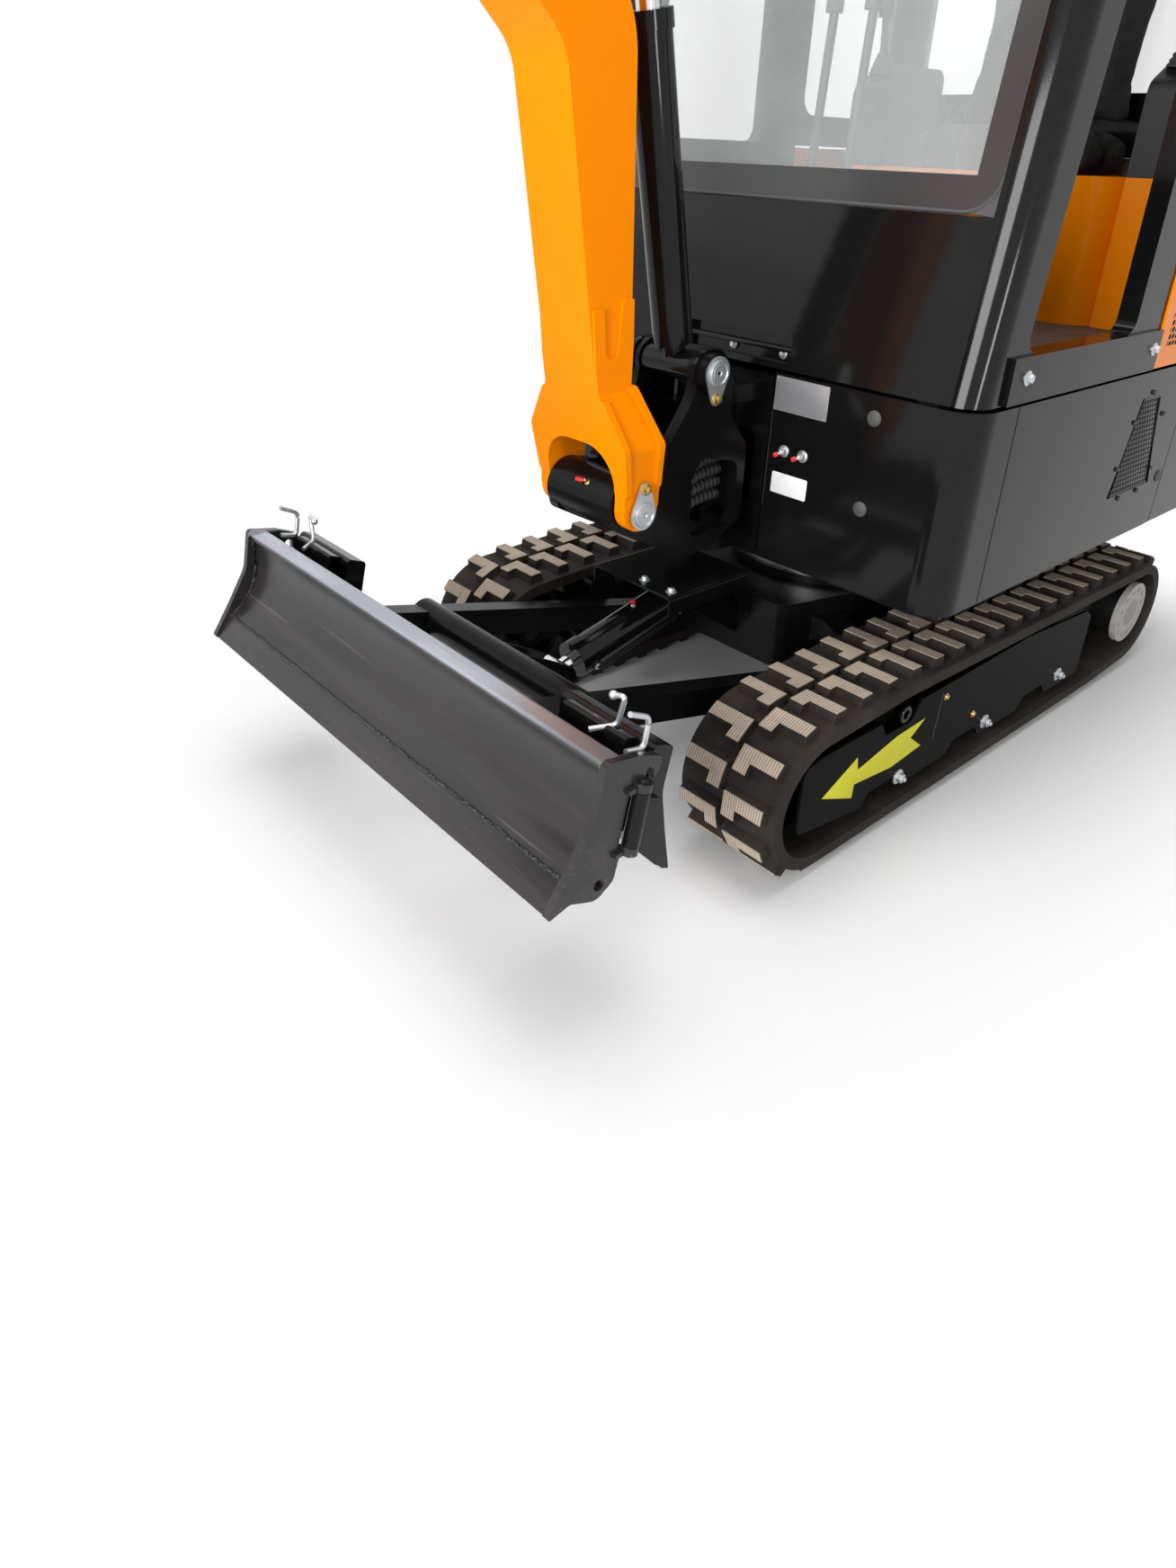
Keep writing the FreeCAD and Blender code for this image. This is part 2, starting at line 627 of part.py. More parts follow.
def car_body():
    """Centre frame: cross beams, bearing seat, blade pivot ears and blade cylinder fork."""
    top = SLEW_RING_BOTTOM - 14
    centre = slab([(-140, CENTRE_FRONT, 30), (140, CENTRE_FRONT, 30), (185, -150, 30), (185, 190, 30),
                   (140, 330, 30), (-140, 330, 30), (-185, 190, 30), (-185, -150, 30)],
                  xy, CENTRE_BOTTOM, top)
    seat = post_z(0, 0, top - 6, SLEW_RING_BOTTOM, SLEW_RING_RADIUS + 10)
    solids = [centre, seat]
    for y in (-250.0, 190.0):
        solids.append(slab([(-BEAM_END, 128, 4), (BEAM_END, 128, 4), (BEAM_END, 196, 4), (190, 270, 40),
                            (-190, 270, 40), (-BEAM_END, 196, 4)], xz, y, y + 70))
    py, pz = ARM_PIVOT
    ear_points = [(py - 34, pz - 34, 33), (-225, pz - 34), (-225, pz + 62), (py + 20, pz + 62, 20),
                  (py - 34, pz + 20, 20)]
    for inner in (PUSH_ARM_X + PIVOT_EAR, PUSH_ARM_X - PIVOT_EAR - FORK_PLATE):
        solids += both_sides(slab(ear_points, yz, inner, inner + FORK_PLATE))
    outside = PIVOT_EAR + FORK_PLATE + 8
    solids += both_sides(pin_x(ARM_PIVOT, PUSH_ARM_X - outside, PUSH_ARM_X + outside, 18))
    solids += fork(BLADE_CYL_BASE, [(-300, 190), (-320, 318)], EYE_WIDTH / 2 + SIDE_GAP)
    solids.append(pin_x(BLADE_CYL_BASE, -fork_outside() - 6, fork_outside() + 6, EYE_PIN))
    return join(solids)


def cylinder_guard():
    """Bent plate over the blade cylinder's base, on two stays that stand against the car body."""
    low, sheet = BLADE_CYL_BASE[1] + BLADE_CYL_RADIUS + 18, 5.0
    plate = slab([(-98, low - 30), (-98 + sheet, low - 30), (-98 + sheet, low, 4), (107 - sheet, low, 4),
                  (107 - sheet, low - 30), (107, low - 30), (107, low + sheet, 9), (-98, low + sheet, 9)],
                 xz, -612, -400)
    front = CENTRE_FRONT - FIT
    stay = slab([(-440, low + 1), (-402, low + 1), (front, 296), (front, 258)], yz, 60, 68)
    return join([plate] + both_sides(stay))


def slew_bearing():
    ring = post_z(0, 0, SLEW_RING_BOTTOM + FIT, SLEW_RING_TOP, SLEW_RING_RADIUS)
    return ring.cut(post_z(0, 0, SLEW_RING_BOTTOM, SLEW_RING_TOP + 1, SLEW_RING_RADIUS - 50))


# ---------------------------------------------------------------- blade
def three_point_circle(a, b, c):
    """Centre and radius of the circle through three (y, z) points."""
    d = 2 * (a[0] * (b[1] - c[1]) + b[0] * (c[1] - a[1]) + c[0] * (a[1] - b[1]))
    squares = [p[0] ** 2 + p[1] ** 2 for p in (a, b, c)]
    y = (squares[0] * (b[1] - c[1]) + squares[1] * (c[1] - a[1]) + squares[2] * (a[1] - b[1])) / d
    z = (squares[0] * (c[0] - b[0]) + squares[1] * (a[0] - c[0]) + squares[2] * (b[0] - a[0])) / d
    return (y, z), distance((y, z), a)


def moldboard(x0, x1):
    """Curved plate through the weld, the fold and the top of the blade's section."""
    centre, radius = three_point_circle(BLADE_WELD, BLADE_FOLD, BLADE_TOP)
    middle = V(0, centre[0], centre[1])

    def pushed(point, extra):
        return middle + (yz(*point) - middle).normalize() * (radius + extra)

    front = [pushed(p, 0) for p in (BLADE_WELD, BLADE_FOLD, BLADE_TOP)]
    back = [pushed(p, BLADE_PLATE) for p in (BLADE_WELD, BLADE_FOLD, BLADE_TOP)]
    edges = [Part.Arc(*front).toShape(), Part.makeLine(front[2], back[2]),
             Part.Arc(*reversed(back)).toShape(), Part.makeLine(back[0], front[0])]
    return raise_wire(Part.Wire(edges), V(1, 0, 0), x0, x1)


def blade_cap(x0, x1):
    """Rolled stiffener along the top edge."""
    y, z = BLADE_TOP
    return slab([(y - 2, z - 8, 4), (y + 36, z - 24, 8), (y + 33, z + 2, 8), (y - 1, z + 3, 5)], yz, x0, x1)


def cutting_edge(x0, x1):
    tip, weld = BLADE_TIP, BLADE_WELD
    return slab([tip, (weld[0] - FIT, weld[1] + FIT), (weld[0] + 12, weld[1] - 10), (tip[0] + 14, tip[1])],
                yz, x0, x1)


END_PLATE = [(-1206, 252, 3), (-1168, 262, 10), (-1124, 244, 22), (-1096, 262, 16), (-1086, 300, 20),
             (-1070, 376, 20), (-1028, 396, 10), (-1020, 420, 8), (-1060, 436, 20), (-1116, 446, 8),
             (-1130, 372, 60), (-1164, 316, 30)]


def wing_axis():
    low, high = yz(*WING_AXIS_LOW, WING_HINGE_X), yz(*WING_AXIS_HIGH, WING_HINGE_X)
    return low, (high - low).normalize()


HINGE_RADIUS = 12.0
HINGE_PIN = 6.0
HINGE_LUGS = (18.0, 108.0)   # lower faces of the two lugs, along the hinge pin
HINGE_LUG = 12.0


def hinge_lugs():
    """Lugs and pin of the left wing's hinge, standing on the end plate."""
    low, along = wing_axis()
    solids = []
    for lift in HINGE_LUGS:
        at = low + along * lift
        solids.append(rod(at, at + along * HINGE_LUG, HINGE_RADIUS))
        mid = at + along * (HINGE_LUG / 2)
        solids.append(box(BLADE_HALF - 8, WING_HINGE_X + 3, mid.y - 26, mid.y, mid.z - 3.5, mid.z + 3.5))
    ends = [low + along * (HINGE_LUGS[0] - 4), low + along * (HINGE_LUGS[1] + HINGE_LUG + 4)]
    solids.append(rod(*ends, HINGE_PIN))
    return solids


def blade():
    """Moldboard with its top stiffener, end plates, hinge lugs and back ribs."""
    inner = BLADE_HALF - BLADE_END_PLATE
    solids = [moldboard(-inner - 1, inner + 1), blade_cap(-inner - 1, inner + 1)]
    low, along = wing_axis()
    end = slab(END_PLATE, yz, inner, BLADE_HALF)
    slot = slab([(-1049, 384, 6), (-1035, 384, 6), (-1035, 412, 6), (-1049, 412, 6)],
                yz, inner - 1, BLADE_HALF + 1)
    relief = rod(low + along * (HINGE_LUGS[0] + HINGE_LUG), low + along * HINGE_LUGS[1], HINGE_RADIUS + 7)
    hole = pin_x((-1120, 268), inner - 1, BLADE_HALF + 1, 9)
    end = end.cut([slot, relief, hole])
    solids += both_sides(join([end] + hinge_lugs()))
    rib = [(-1160, 286), (-1110, 276, 8), (-1090, 300, 10), (-1084, 424), (-1106, 430), (-1112, 350)]
    for x in (PUSH_ARM_X + 120, PUSH_ARM_X):
        solids += both_sides(slab(rib, yz, x - 5, x + 5))
    body = join(solids)
    return cut(body, [front_space()])


def front_space():
    """The room swept clear in front of the moldboard, between the end plates."""
    centre, radius = three_point_circle(BLADE_WELD, BLADE_FOLD, BLADE_TOP)
    inner = BLADE_HALF - BLADE_END_PLATE
    drum = pin_x(centre, -inner, inner, radius)
    keep = box(-inner - 1, inner + 1, -1300, -1000, BLADE_WELD[1], BLADE_TOP[1] - 8)
    y, z = BLADE_WELD
    lower = slab([(-1260, 250), (y + 13, z - 9.6), (y - FIT, z + FIT), (-1260, 330)], yz, -inner, inner)
    return join([drum.common(keep), lower])


def blade_edge():
    """Flat cutting edge along the foot of the moldboard."""
    inner = BLADE_HALF - BLADE_END_PLATE - FIT
    return cutting_edge(-inner, inner)


def bar_yz(start, end, depth, x0, x1):
    """Flat bar between two (y, z) points."""
    first, last = yz(*start), yz(*end)
    along = (last - first).normalize()
    half = V(0, -along.z, along.y) * (depth / 2)
    corners = [first - half, last - half, last + half, first + half]
    return raise_wire(Part.makePolygon(corners + corners[:1]), V(1, 0, 0), x0, x1)


def blade_arms():
    """Two push arms, the torque tube between them and the fork for the cylinder."""
    x0, x1 = PUSH_ARM_X - PUSH_ARM_WIDTH / 2, PUSH_ARM_X + PUSH_ARM_WIDTH / 2
    arm = bar_yz(ARM_PIVOT, ARM_FRONT, PUSH_ARM_DEPTH, x0, x1)
    arm = join([arm, pin_x(ARM_PIVOT, x0, x1, PUSH_ARM_DEPTH / 2)])
    arm = arm.cut([pin_x(ARM_PIVOT, x0 - 1, x1 + 1, 18 + PIN_FIT), back_space()])
    solids = both_sides(arm)
    solids.append(pin_x(TORQUE_TUBE, -x1 - 6, x1 + 6, TORQUE_TUBE_RADIUS))
    roots = [(TORQUE_TUBE[0] - 18, TORQUE_TUBE[1] - 14), (TORQUE_TUBE[0] + 6, TORQUE_TUBE[1] + 26)]
    solids += fork(BLADE_CYL_EYE, roots, EYE_WIDTH / 2 + SIDE_GAP)
    solids += pin_heads(BLADE_CYL_EYE, fork_outside())
    return join(solids)


def back_space():
    """The moldboard and everything ahead of it, with the ribs, to trim the arms against."""
    centre, radius = three_point_circle(BLADE_WELD, BLADE_FOLD, BLADE_TOP)
    drum = pin_x(centre, 0, BLADE_HALF, radius + BLADE_PLATE + FIT)
    rib = box(PUSH_ARM_X - 5 - FIT, PUSH_ARM_X + 5 + FIT, -1200, -1083, 200, 500)
    return join([drum, rib])


def wing():
    """Left extension wing, built opened out beside the blade and then folded behind it."""
    start = WING_HINGE_X + WING_START
    end = start + WING_WIDTH
    low, along = wing_axis()
    solids = [moldboard(start, end), blade_cap(start, end), cutting_edge(start, end)]
    plate = [(-1202, 253, 2), (-1168, 262), (-1110, 290, 14), (-1098, 350), (-1078, 424, 8), (-1114, 441, 6),
             (-1126, 372, 60), (-1162, 314, 30)]
    solids.append(slab(plate, yz, start, start + BLADE_PLATE))
    solids.append(slab(plate, yz, end - BLADE_PLATE, end))
    tube = [(-1100, 396, 5), (WING_TUBE_REAR, 396, 5), (WING_TUBE_REAR, WING_TUBE_TOP, 5),
            (-1100, WING_TUBE_TOP, 5)]
    solids.append(slab(tube, yz, start + 30, end - 26))
    tab = slab([(-1104, 322), (-1069, 322), (-1061, 372), (-1104, 372)], yz, WING_HINGE_X + 4, start + 12)
    ends = (HINGE_LUGS[0] + HINGE_LUG + SIDE_GAP, HINGE_LUGS[1] - SIDE_GAP)
    knuckle = rod(low + along * ends[0], low + along * ends[1], HINGE_RADIUS)
    solids += [tab, knuckle]
    body = join(solids)
    bore = rod(low - along * 20, low + along * 180, HINGE_PIN + PIN_FIT)
    hollow = slab(inset_points(tube, 5), yz, end - 90, end - 25)
    hole = post_z(start + 60, WING_TUBE_REAR - 11, 390, 440, WING_PIN_RADIUS + FIT)
    body = cut(body, [bore, hollow, hole])
    body.rotate(low, along, 180)
    return body


WING_TUBE_REAR = -1056.0
WING_TUBE_TOP = 434.0
WING_PIN_RADIUS = 4.5


def wing_pin():
    """Bent lock pin that hangs by its collar in the left wing's tube."""
    x, y, top = WING_HINGE_X + WING_START + 60, WING_TUBE_REAR - 11, WING_TUBE_TOP
    corner, knob = V(x, y, top + 26), V(x + 28, y, top + 31)
    pin = join([post_z(x, y, top - 52, top + 26, WING_PIN_RADIUS), post_z(x, y, top, top + 4, 8),
                Part.makeSphere(WING_PIN_RADIUS, corner), rod(corner, knob, WING_PIN_RADIUS),
                Part.makeSphere(7, knob)])
    low, along = wing_axis()
    pin.rotate(low, along, 180)
    return pin


# ---------------------------------------------------------------- house
def house_frame():
    """Deck, slewing ring, and the swing bracket with its two king pins."""
    half, front, corner = HOUSE_HALF - SHEET - FIT, HOUSE_FRONT + SHEET + FIT, FRONT_CORNER - SHEET
    rear = TAIL_SPLIT - FIT
    deck = slab([(-half, front, corner), (half, front, corner), (half, rear), (-half, rear)],
                xy, DECK_BOTTOM, DECK_TOP)
    ring = post_z(0, 0, SLEW_RING_TOP + FIT, DECK_BOTTOM + 1, SLEW_RING_RADIUS + 14)
    ring = ring.cut(post_z(0, 0, SLEW_RING_TOP, DECK_BOTTOM, SLEW_RING_RADIUS - 60))
    solids = [deck, ring]
    plate_front, plate_top = HOUSE_FRONT + 8, BODY_TOP - 12
    for z in (LUG_LOW, LUG_HIGH):
        solids.append(box(-62, 62, KING_Y, plate_front + 12, z, z + LUG_THICK))
        solids.append(post_z(0, KING_Y, z, z + LUG_THICK, 62))
    plate = box(-74, 74, plate_front, plate_front + 18, DECK_BOTTOM, plate_top)
    passage = slab([(-44, PASSAGE[0], 20), (44, PASSAGE[0], 20), (44, PASSAGE[1], 20), (-44, PASSAGE[1], 20)],
                   xz, plate_front - 1, plate_front + 19)
    solids.append(plate.cut(passage))
    web_front = plate_front + 12
    web = slab([(web_front, DECK_TOP - 1), (-60, DECK_TOP - 1), (-120, 560, 60), (web_front, plate_top)],
               yz, 50, 64)
    solids += both_sides(web)
    solids.append(post_z(0, KING_Y, LUG_LOW - 8, PASSAGE[0] + 6, KING_PIN_RADIUS))
    solids.append(post_z(0, KING_Y, PASSAGE[1] - 6, LUG_HIGH + LUG_THICK + 8, KING_PIN_RADIUS))
    return join(solids)


RECESS = 79.0                # half width of the recess for the swing post


def front_panel():
    """Left front body panel: flat front, rounded corner, and a return into the recess."""
    out, back = HOUSE_HALF, HOUSE_FRONT
    points = [(RECESS, back, 8), (out, back, FRONT_CORNER), (out, SIDE_SPLIT - SEAM / 2),
              (out - SHEET, SIDE_SPLIT - SEAM / 2), (out - SHEET, back + SHEET, FRONT_CORNER - SHEET),
              (RECESS + SHEET, back + SHEET, 3), (RECESS + SHEET, back + 50), (RECESS, back + 50)]
    panel = slab(points, xy, PANEL_BOTTOM, BODY_TOP - SEAM)
    deck = box(RECESS - 1, RECESS + SHEET + 4, back + SHEET, back + 51, PANEL_BOTTOM - 1, DECK_TOP + FIT)
    panel = panel.cut(deck)
    shelf = box(RECESS + 2, out - FRONT_CORNER, back + 2, back + 32, DECK_TOP + FIT, DECK_TOP + 6)
    return join([panel, shelf])


def side_panel(vented):
    """Left side body panel, with a recessed vent on the vented side."""
    inside, front, rear = HOUSE_HALF - SHEET, SIDE_SPLIT + SEAM / 2, TAIL_SPLIT - SEAM / 2
    panel = box(inside, HOUSE_HALF, front, rear, PANEL_BOTTOM, BODY_TOP - SEAM)
    if vented:
        vent = [(290, 694, 6), (360, 692, 6), (422, 512, 6), (242, 511, 6)]
        panel = panel.cut(slab(vent, yz, HOUSE_HALF - 2, HOUSE_HALF + 1))
    flange = box(HOUSE_HALF - 26, HOUSE_HALF - 2, front + 20, rear - 20, DECK_TOP + FIT, DECK_TOP + 5)
    return join([panel, flange])


def counterweight():
    """Cast tail with rounded corners, hollowed for the engine's fan, on a tongue over the deck."""
    half, front, rear = HOUSE_HALF, TAIL_SPLIT + SEAM / 2, HOUSE_REAR
    body = slab([(-half, front), (half, front), (half, rear, REAR_CORNER), (-half, rear, REAR_CORNER)],
                xy, PANEL_BOTTOM, BODY_TOP - SEAM)
    wide, deep = half - 115, rear - 130
    hollow = slab([(-wide, front - 8), (wide, front - 8), (wide, deep, 40), (-wide, deep, 40)],
                  xy, 440, BODY_TOP)
    tongue = box(-340, 340, TONGUE_FRONT, front + 20, DECK_TOP + FIT, 441)
    return join([body.cut(hollow), tongue])


TONGUE_FRONT = TAIL_SPLIT - 60


def engine():
    """Engine as one plain block with its radiator and pulley."""
    rear = TONGUE_FRONT - 6
    foot = DECK_TOP + FIT
    block = slab([(-210, 140, 20), (150, 140, 20), (150, rear, 20), (-210, rear, 20)], xy, foot, 640)
    head = slab([(-170, 180, 15), (110, 180, 15), (110, rear - 40, 15), (-170, rear - 40, 15)], xy, 639, 735)
    radiator = box(190, 250, 170, rear, foot, 720)
    shaft = rod(V(149, 300, 560), V(191, 300, 560), 40)
    return join([block, head, radiator, shaft])


def lean(z):
    """How far back the cab's front has moved at a height."""
    return CAB_FRONT + (z - BODY_TOP) * math.tan(math.radians(CAB_LEAN))


def cab_side(inset, bottom):
    """Side outline of the cab, drawn inset from its outside."""
    low = BODY_TOP + SEAM
    skew = inset / math.cos(math.radians(CAB_LEAN))
    top = CAB_TOP - inset
    post = DOOR_POST_REAR + inset
    return [(lean(low - bottom) + skew, low - bottom), (lean(top) + skew, top, 90 - inset),
            (CAB_REAR - inset, top, 110 - inset), (CAB_REAR - inset, HOOD_TOP + SEAM - bottom),
            (post, HOOD_TOP + SEAM - bottom), (post, low - bottom)]


def door_opening(x0, x1, bottom):
    gap = lean(bottom) - lean(BODY_TOP)
    front_low = DOOR_FRONT + gap - (lean(SILL_TOP) - lean(BODY_TOP))
    front_high = DOOR_FRONT + lean(WINDOW_TOP) - lean(SILL_TOP)
    return slab([(front_low, bottom, 30), (front_high, WINDOW_TOP, 70), (DOOR_REAR, WINDOW_TOP, 70),
                 (DOOR_REAR, bottom, 30)], yz, x0, x1)


QUARTER = [(DOOR_POST_REAR + 14, 1180.0, 40), (DOOR_POST_REAR + 14, WINDOW_TOP, 60),
           (CAB_REAR - 70, WINDOW_TOP, 90), (CAB_REAR - 70, 1180.0, 40)]
SCREEN_HALF = 415.0
REAR_WINDOW = [(-380, 1240, 50), (380, 1240, 50), (380, WINDOW_TOP, 60), (-380, WINDOW_TOP, 60)]
RIGHT_SILL = 1120.0


def cab_shell():
    outer = slab(cab_side(0, 0), yz, -CAB_HALF, CAB_HALF)
    chosen = []
    for edge in outer.Edges:
        box_of = edge.BoundBox
        on_side = box_of.XLength < 1e-3
        if on_side and box_of.ZMax > SILL_TOP and not (box_of.ZLength < 1e-3 and box_of.ZMax < CAB_TOP - 1):
            if not (abs(box_of.YMax - DOOR_POST_REAR) < 1 and box_of.YLength < 1e-3):
                chosen.append(edge)
    outer = outer.makeFillet(CAB_CORNER, chosen)
    inner = slab(cab_side(CAB_WALL, 60), yz, CAB_WALL - CAB_HALF, CAB_HALF - CAB_WALL)
    return outer.cut(inner)


def screen_opening(grow=0.0):
    """Prism through the front of the cab, from the seam to the top of the windscreen."""
    half = SCREEN_HALF + grow
    return slab([(-half, BODY_TOP - 10), (half, BODY_TOP - 10), (half, WINDOW_TOP + grow, 60),
                 (-half, WINDOW_TOP + grow, 60)], xz, CAB_FRONT - 60, lean(WINDOW_TOP) + 60)


def cab_frame():
    """Posts, rails and lower walls of the cab."""
    shell = cab_shell()
    outside = CAB_HALF + 10
    openings = [door_opening(200, outside, SILL_TOP), door_opening(-outside, -200, RIGHT_SILL),
                slab(QUARTER, yz, 200, outside), slab(QUARTER, yz, -outside, -200),
                slab(REAR_WINDOW, xz, CAB_REAR - 80, CAB_REAR + 10)]
    low, high = 700.0, 2150.0
    front_zone = slab([(lean(low) - 60, low), (lean(high) - 60, high), (lean(high) + 60, high),
                       (lean(low) + 60, low)], yz, -outside, outside)
    openings.append(screen_opening().common(front_zone))
    openings.append(box(-outside, outside, -500, 900, CAB_TOP - 30, CAB_TOP + 10))
    return cut(shell, openings)


def cab_roof():
    """Domed top of the cab, from 30 mm below its crown."""
    shell = slab(cab_side(0, 0), yz, -CAB_HALF, CAB_HALF)
    chosen = []
    for edge in shell.Edges:
        bounds = edge.BoundBox
        if bounds.XLength < 1e-3 and CAB_TOP - 130 < bounds.ZMin and CAB_TOP - 95 < bounds.ZMax:
            chosen.append(edge)
    top = shell.makeFillet(CAB_CORNER, chosen)
    return top.common(box(-500, 500, -500, 900, CAB_TOP - 30 + FIT, CAB_TOP + 10))


def leaning_plate(z0, z1, half, depth0, depth1, radius):
    """Plate parallel to the leaning front, between two depths behind it."""
    skew = 1 / math.cos(math.radians(CAB_LEAN))
    near, far = depth0 * skew, depth1 * skew
    side = slab([(lean(z0) + near, z0), (lean(z1) + near, z1), (lean(z1) + far, z1), (lean(z0) + far, z0)],
                yz, -half, half)
    corners = [(-half, z0, radius), (half, z0, radius), (half, z1, radius), (-half, z1, radius)]
    face = slab(corners, xz, -600, 300)
    return side.common(face)


def cab_front_panel():
    """Lower front of the cab below the windscreen, with a guard bar in a recess over the boom's bracket."""
    panel = leaning_plate(BODY_TOP + SEAM, SCREEN_SILL, SCREEN_HALF - FIT, 0, CAB_WALL, 1.5)
    low, high, half, middle = BODY_TOP + 14, BODY_TOP + 58, 122.0, -18.0
    recess = leaning_plate(low, high, half, -2, 14, 4).translated(V(middle, 0, 0))
    height = (low + high) / 2
    y = lean(height) + 5
    bar = rod(V(middle - half - 1, y, height), V(middle + half + 1, y, height), 5)
    return join([panel.cut(recess), bar])


def windscreen():
    return leaning_plate(SCREEN_SILL + FIT, WINDOW_TOP - FIT, SCREEN_HALF - FIT, 12, 12 + GLASS, 59.8)


def side_glass(points, x_inner):
    """Pane filling an opening, seen from the side."""
    return slab(points, yz, x_inner, x_inner + GLASS)


def inset_points(points, inset):
    """The same outline drawn a little smaller about its middle."""
    middle_a = (min(p[0] for p in points) + max(p[0] for p in points)) / 2
    middle_b = (min(p[1] for p in points) + max(p[1] for p in points)) / 2
    moved = []
    for a, b, radius in points:
        moved.append((a + math.copysign(inset, middle_a - a), b + math.copysign(inset, middle_b - b), radius))
    return moved


def quarter_glass():
    return side_glass(inset_points(QUARTER, FIT), CAB_HALF - 20)


def right_glass():
    return door_opening(-CAB_HALF + 15, -CAB_HALF + 15 + GLASS, RIGHT_SILL)


def rear_glass():
    return slab(inset_points(REAR_WINDOW, FIT), xz, CAB_REAR - 22, CAB_REAR - 22 + GLASS)


def cab_floor():
    """Floor plate on its upstands, with the bulkhead behind the seat."""
    half = CAB_HALF - CAB_WALL - FIT
    wide = HOUSE_HALF - SHEET - FIT
    front, post = lean(FLOOR_TOP) + CAB_WALL + 3, DOOR_POST_REAR + FIT + 1
    rear = CAB_REAR - FIT
    floor = slab([(-half, front), (half, front), (half, post), (wide, post), (wide, rear),
                  (-wide, rear), (-wide, post), (-half, post)], xy, FLOOR_TOP - 10, FLOOR_TOP)
    bulkhead = box(-wide, wide, CAB_REAR - 10, rear, FLOOR_TOP - 10, HOOD_TOP + SEAM - FIT)
    solids = [floor, bulkhead]
    for x in (-300.0, 300.0):
        for y in (-200.0, TONGUE_FRONT - 40):
            solids.append(box(x - 20, x + 20, y, y + 30, DECK_TOP + FIT, FLOOR_TOP - 5))
    return join(solids)


def skirt():
    """Left skirt below the cab's door sill."""
    return box(CAB_HALF + FIT, CAB_HALF + 8, -278, DOOR_POST_REAR, BODY_TOP + SEAM, SILL_TOP)


def seat_base():
    """Rounded cover over the engine that carries the seat."""
    half, front, rear, sheet = SEAT_BASE_HALF, SEAT_BASE_FRONT, CAB_REAR - 10 - FIT, 6.0
    outer = slab([(-half, front, 60), (half, front, 60), (half, rear), (-half, rear)],
                 xy, FLOOR_TOP + FIT, SEAT_BASE_TOP)
    wide, near = half - sheet, front + sheet
    inner = slab([(-wide, near, 60 - sheet), (wide, near, 60 - sheet), (wide, rear + 1), (-wide, rear + 1)],
                 xy, FLOOR_TOP - 1, SEAT_BASE_TOP - sheet)
    return outer.cut(inner)


def seat():
    """Cushion and backrest."""
    cushion = slab([(-225, 372, 50), (225, 372, 50), (225, 610, 40), (-225, 610, 40)],
                   xy, SEAT_BASE_TOP + FIT, 1165)
    back = slab([(540, 1150, 20), (610, 1520, 20), (655, 1510, 20), (612, 1150, 20)], yz, -210, 210)
    return join([cushion, back])


def controls():
    """Travel levers with their pedals on one pedestal, and the two side consoles with their levers."""
    pedestal = [box(-90, 90, -210, -150, FLOOR_TOP + FIT, FLOOR_TOP + 40)]
    for x in (-40.0, 40.0):
        pedestal.append(rod(V(x, -180, FLOOR_TOP + 30), V(x, -150, 1330), 8))
        pedestal.append(rod(V(x, -152, 1320), V(x, -148, 1420), 15))
        pedal = x + math.copysign(40, x)
        pedestal.append(box(pedal - 30, pedal + 30, -160, -60, FLOOR_TOP + 30, FLOOR_TOP + 36))
    solids = [join(pedestal)]
    foot = FLOOR_TOP + FIT
    for x in (-330.0, 330.0):
        console = slab([(380, foot), (380, 1240, 30), (470, 1290, 30), (650, 1290, 30), (650, foot)],
                       yz, x - 32, x + 32)
        lever = [rod(V(x, 440, 1230), V(x, 420, 1390), 8), rod(V(x, 421, 1380), V(x, 412, 1450), 17)]
        solids.append(join([console] + lever))
    return solids


def engine_panel():
    """Left engine panel behind the door post."""
    inside, front = HOUSE_HALF - SHEET, DOOR_POST_REAR + SEAM
    return box(inside, HOUSE_HALF, front, CAB_REAR + 8, BODY_TOP + SEAM, HOOD_TOP)


HOOD_HINGE_XS = (-300.0, 300.0)
HOOD_KNUCKLE = 30.0          # half length of a hinge knuckle
HOOD_LUG = 12.0


def engine_hood():
    """Rear hood that lifts about the edge behind the cab, notched round its hinge lugs."""
    half, front, rear, corner = HOUSE_HALF, CAB_REAR + 8 + SEAM, HOUSE_REAR, REAR_CORNER
    outer = slab([(-half, front), (half, front), (half, rear, corner), (-half, rear, corner)],
                 xy, BODY_TOP + SEAM, HOOD_TOP)
    wide, deep, inside = half - SHEET, rear - SHEET, corner - SHEET
    inner = slab([(-wide, front - 1), (wide, front - 1), (wide, deep, inside), (-wide, deep, inside)],
                 xy, BODY_TOP, HOOD_TOP - SHEET)
    y, z = HOOD_HINGE
    solids, notches = [outer.cut(inner)], []
    for x in HOOD_HINGE_XS:
        reach = HOOD_KNUCKLE + HOOD_LUG + 3
        notches.append(box(x - reach, x + reach, front - 1, y + 12, z - 10, HOOD_TOP + 1))
    shell = solids[0].cut(notches)
    solids = [shell]
    for x in HOOD_HINGE_XS:
        solids.append(pin_x(HOOD_HINGE, x - HOOD_KNUCKLE, x + HOOD_KNUCKLE, 7))
        solids.append(box(x - HOOD_KNUCKLE, x + HOOD_KNUCKLE, y, y + 14, z - 5, HOOD_TOP - 1))
    return cut(join(solids), [pin_x(HOOD_HINGE, -400, 400, 4 + PIN_FIT)])


def hood_hinges():
    """Hinge pins and lugs on the bulkhead."""
    y, z = HOOD_HINGE
    solids = []
    for x in HOOD_HINGE_XS:
        solids.append(pin_x(HOOD_HINGE, x - HOOD_KNUCKLE - HOOD_LUG - 1, x + HOOD_KNUCKLE + HOOD_LUG + 1, 4))
        for side in (-1, 1):
            near = x + side * (HOOD_KNUCKLE + SIDE_GAP)
            solids.append(box(near, near + side * HOOD_LUG, CAB_REAR - 5, y + 5, z - 7, z + 5))
    return solids


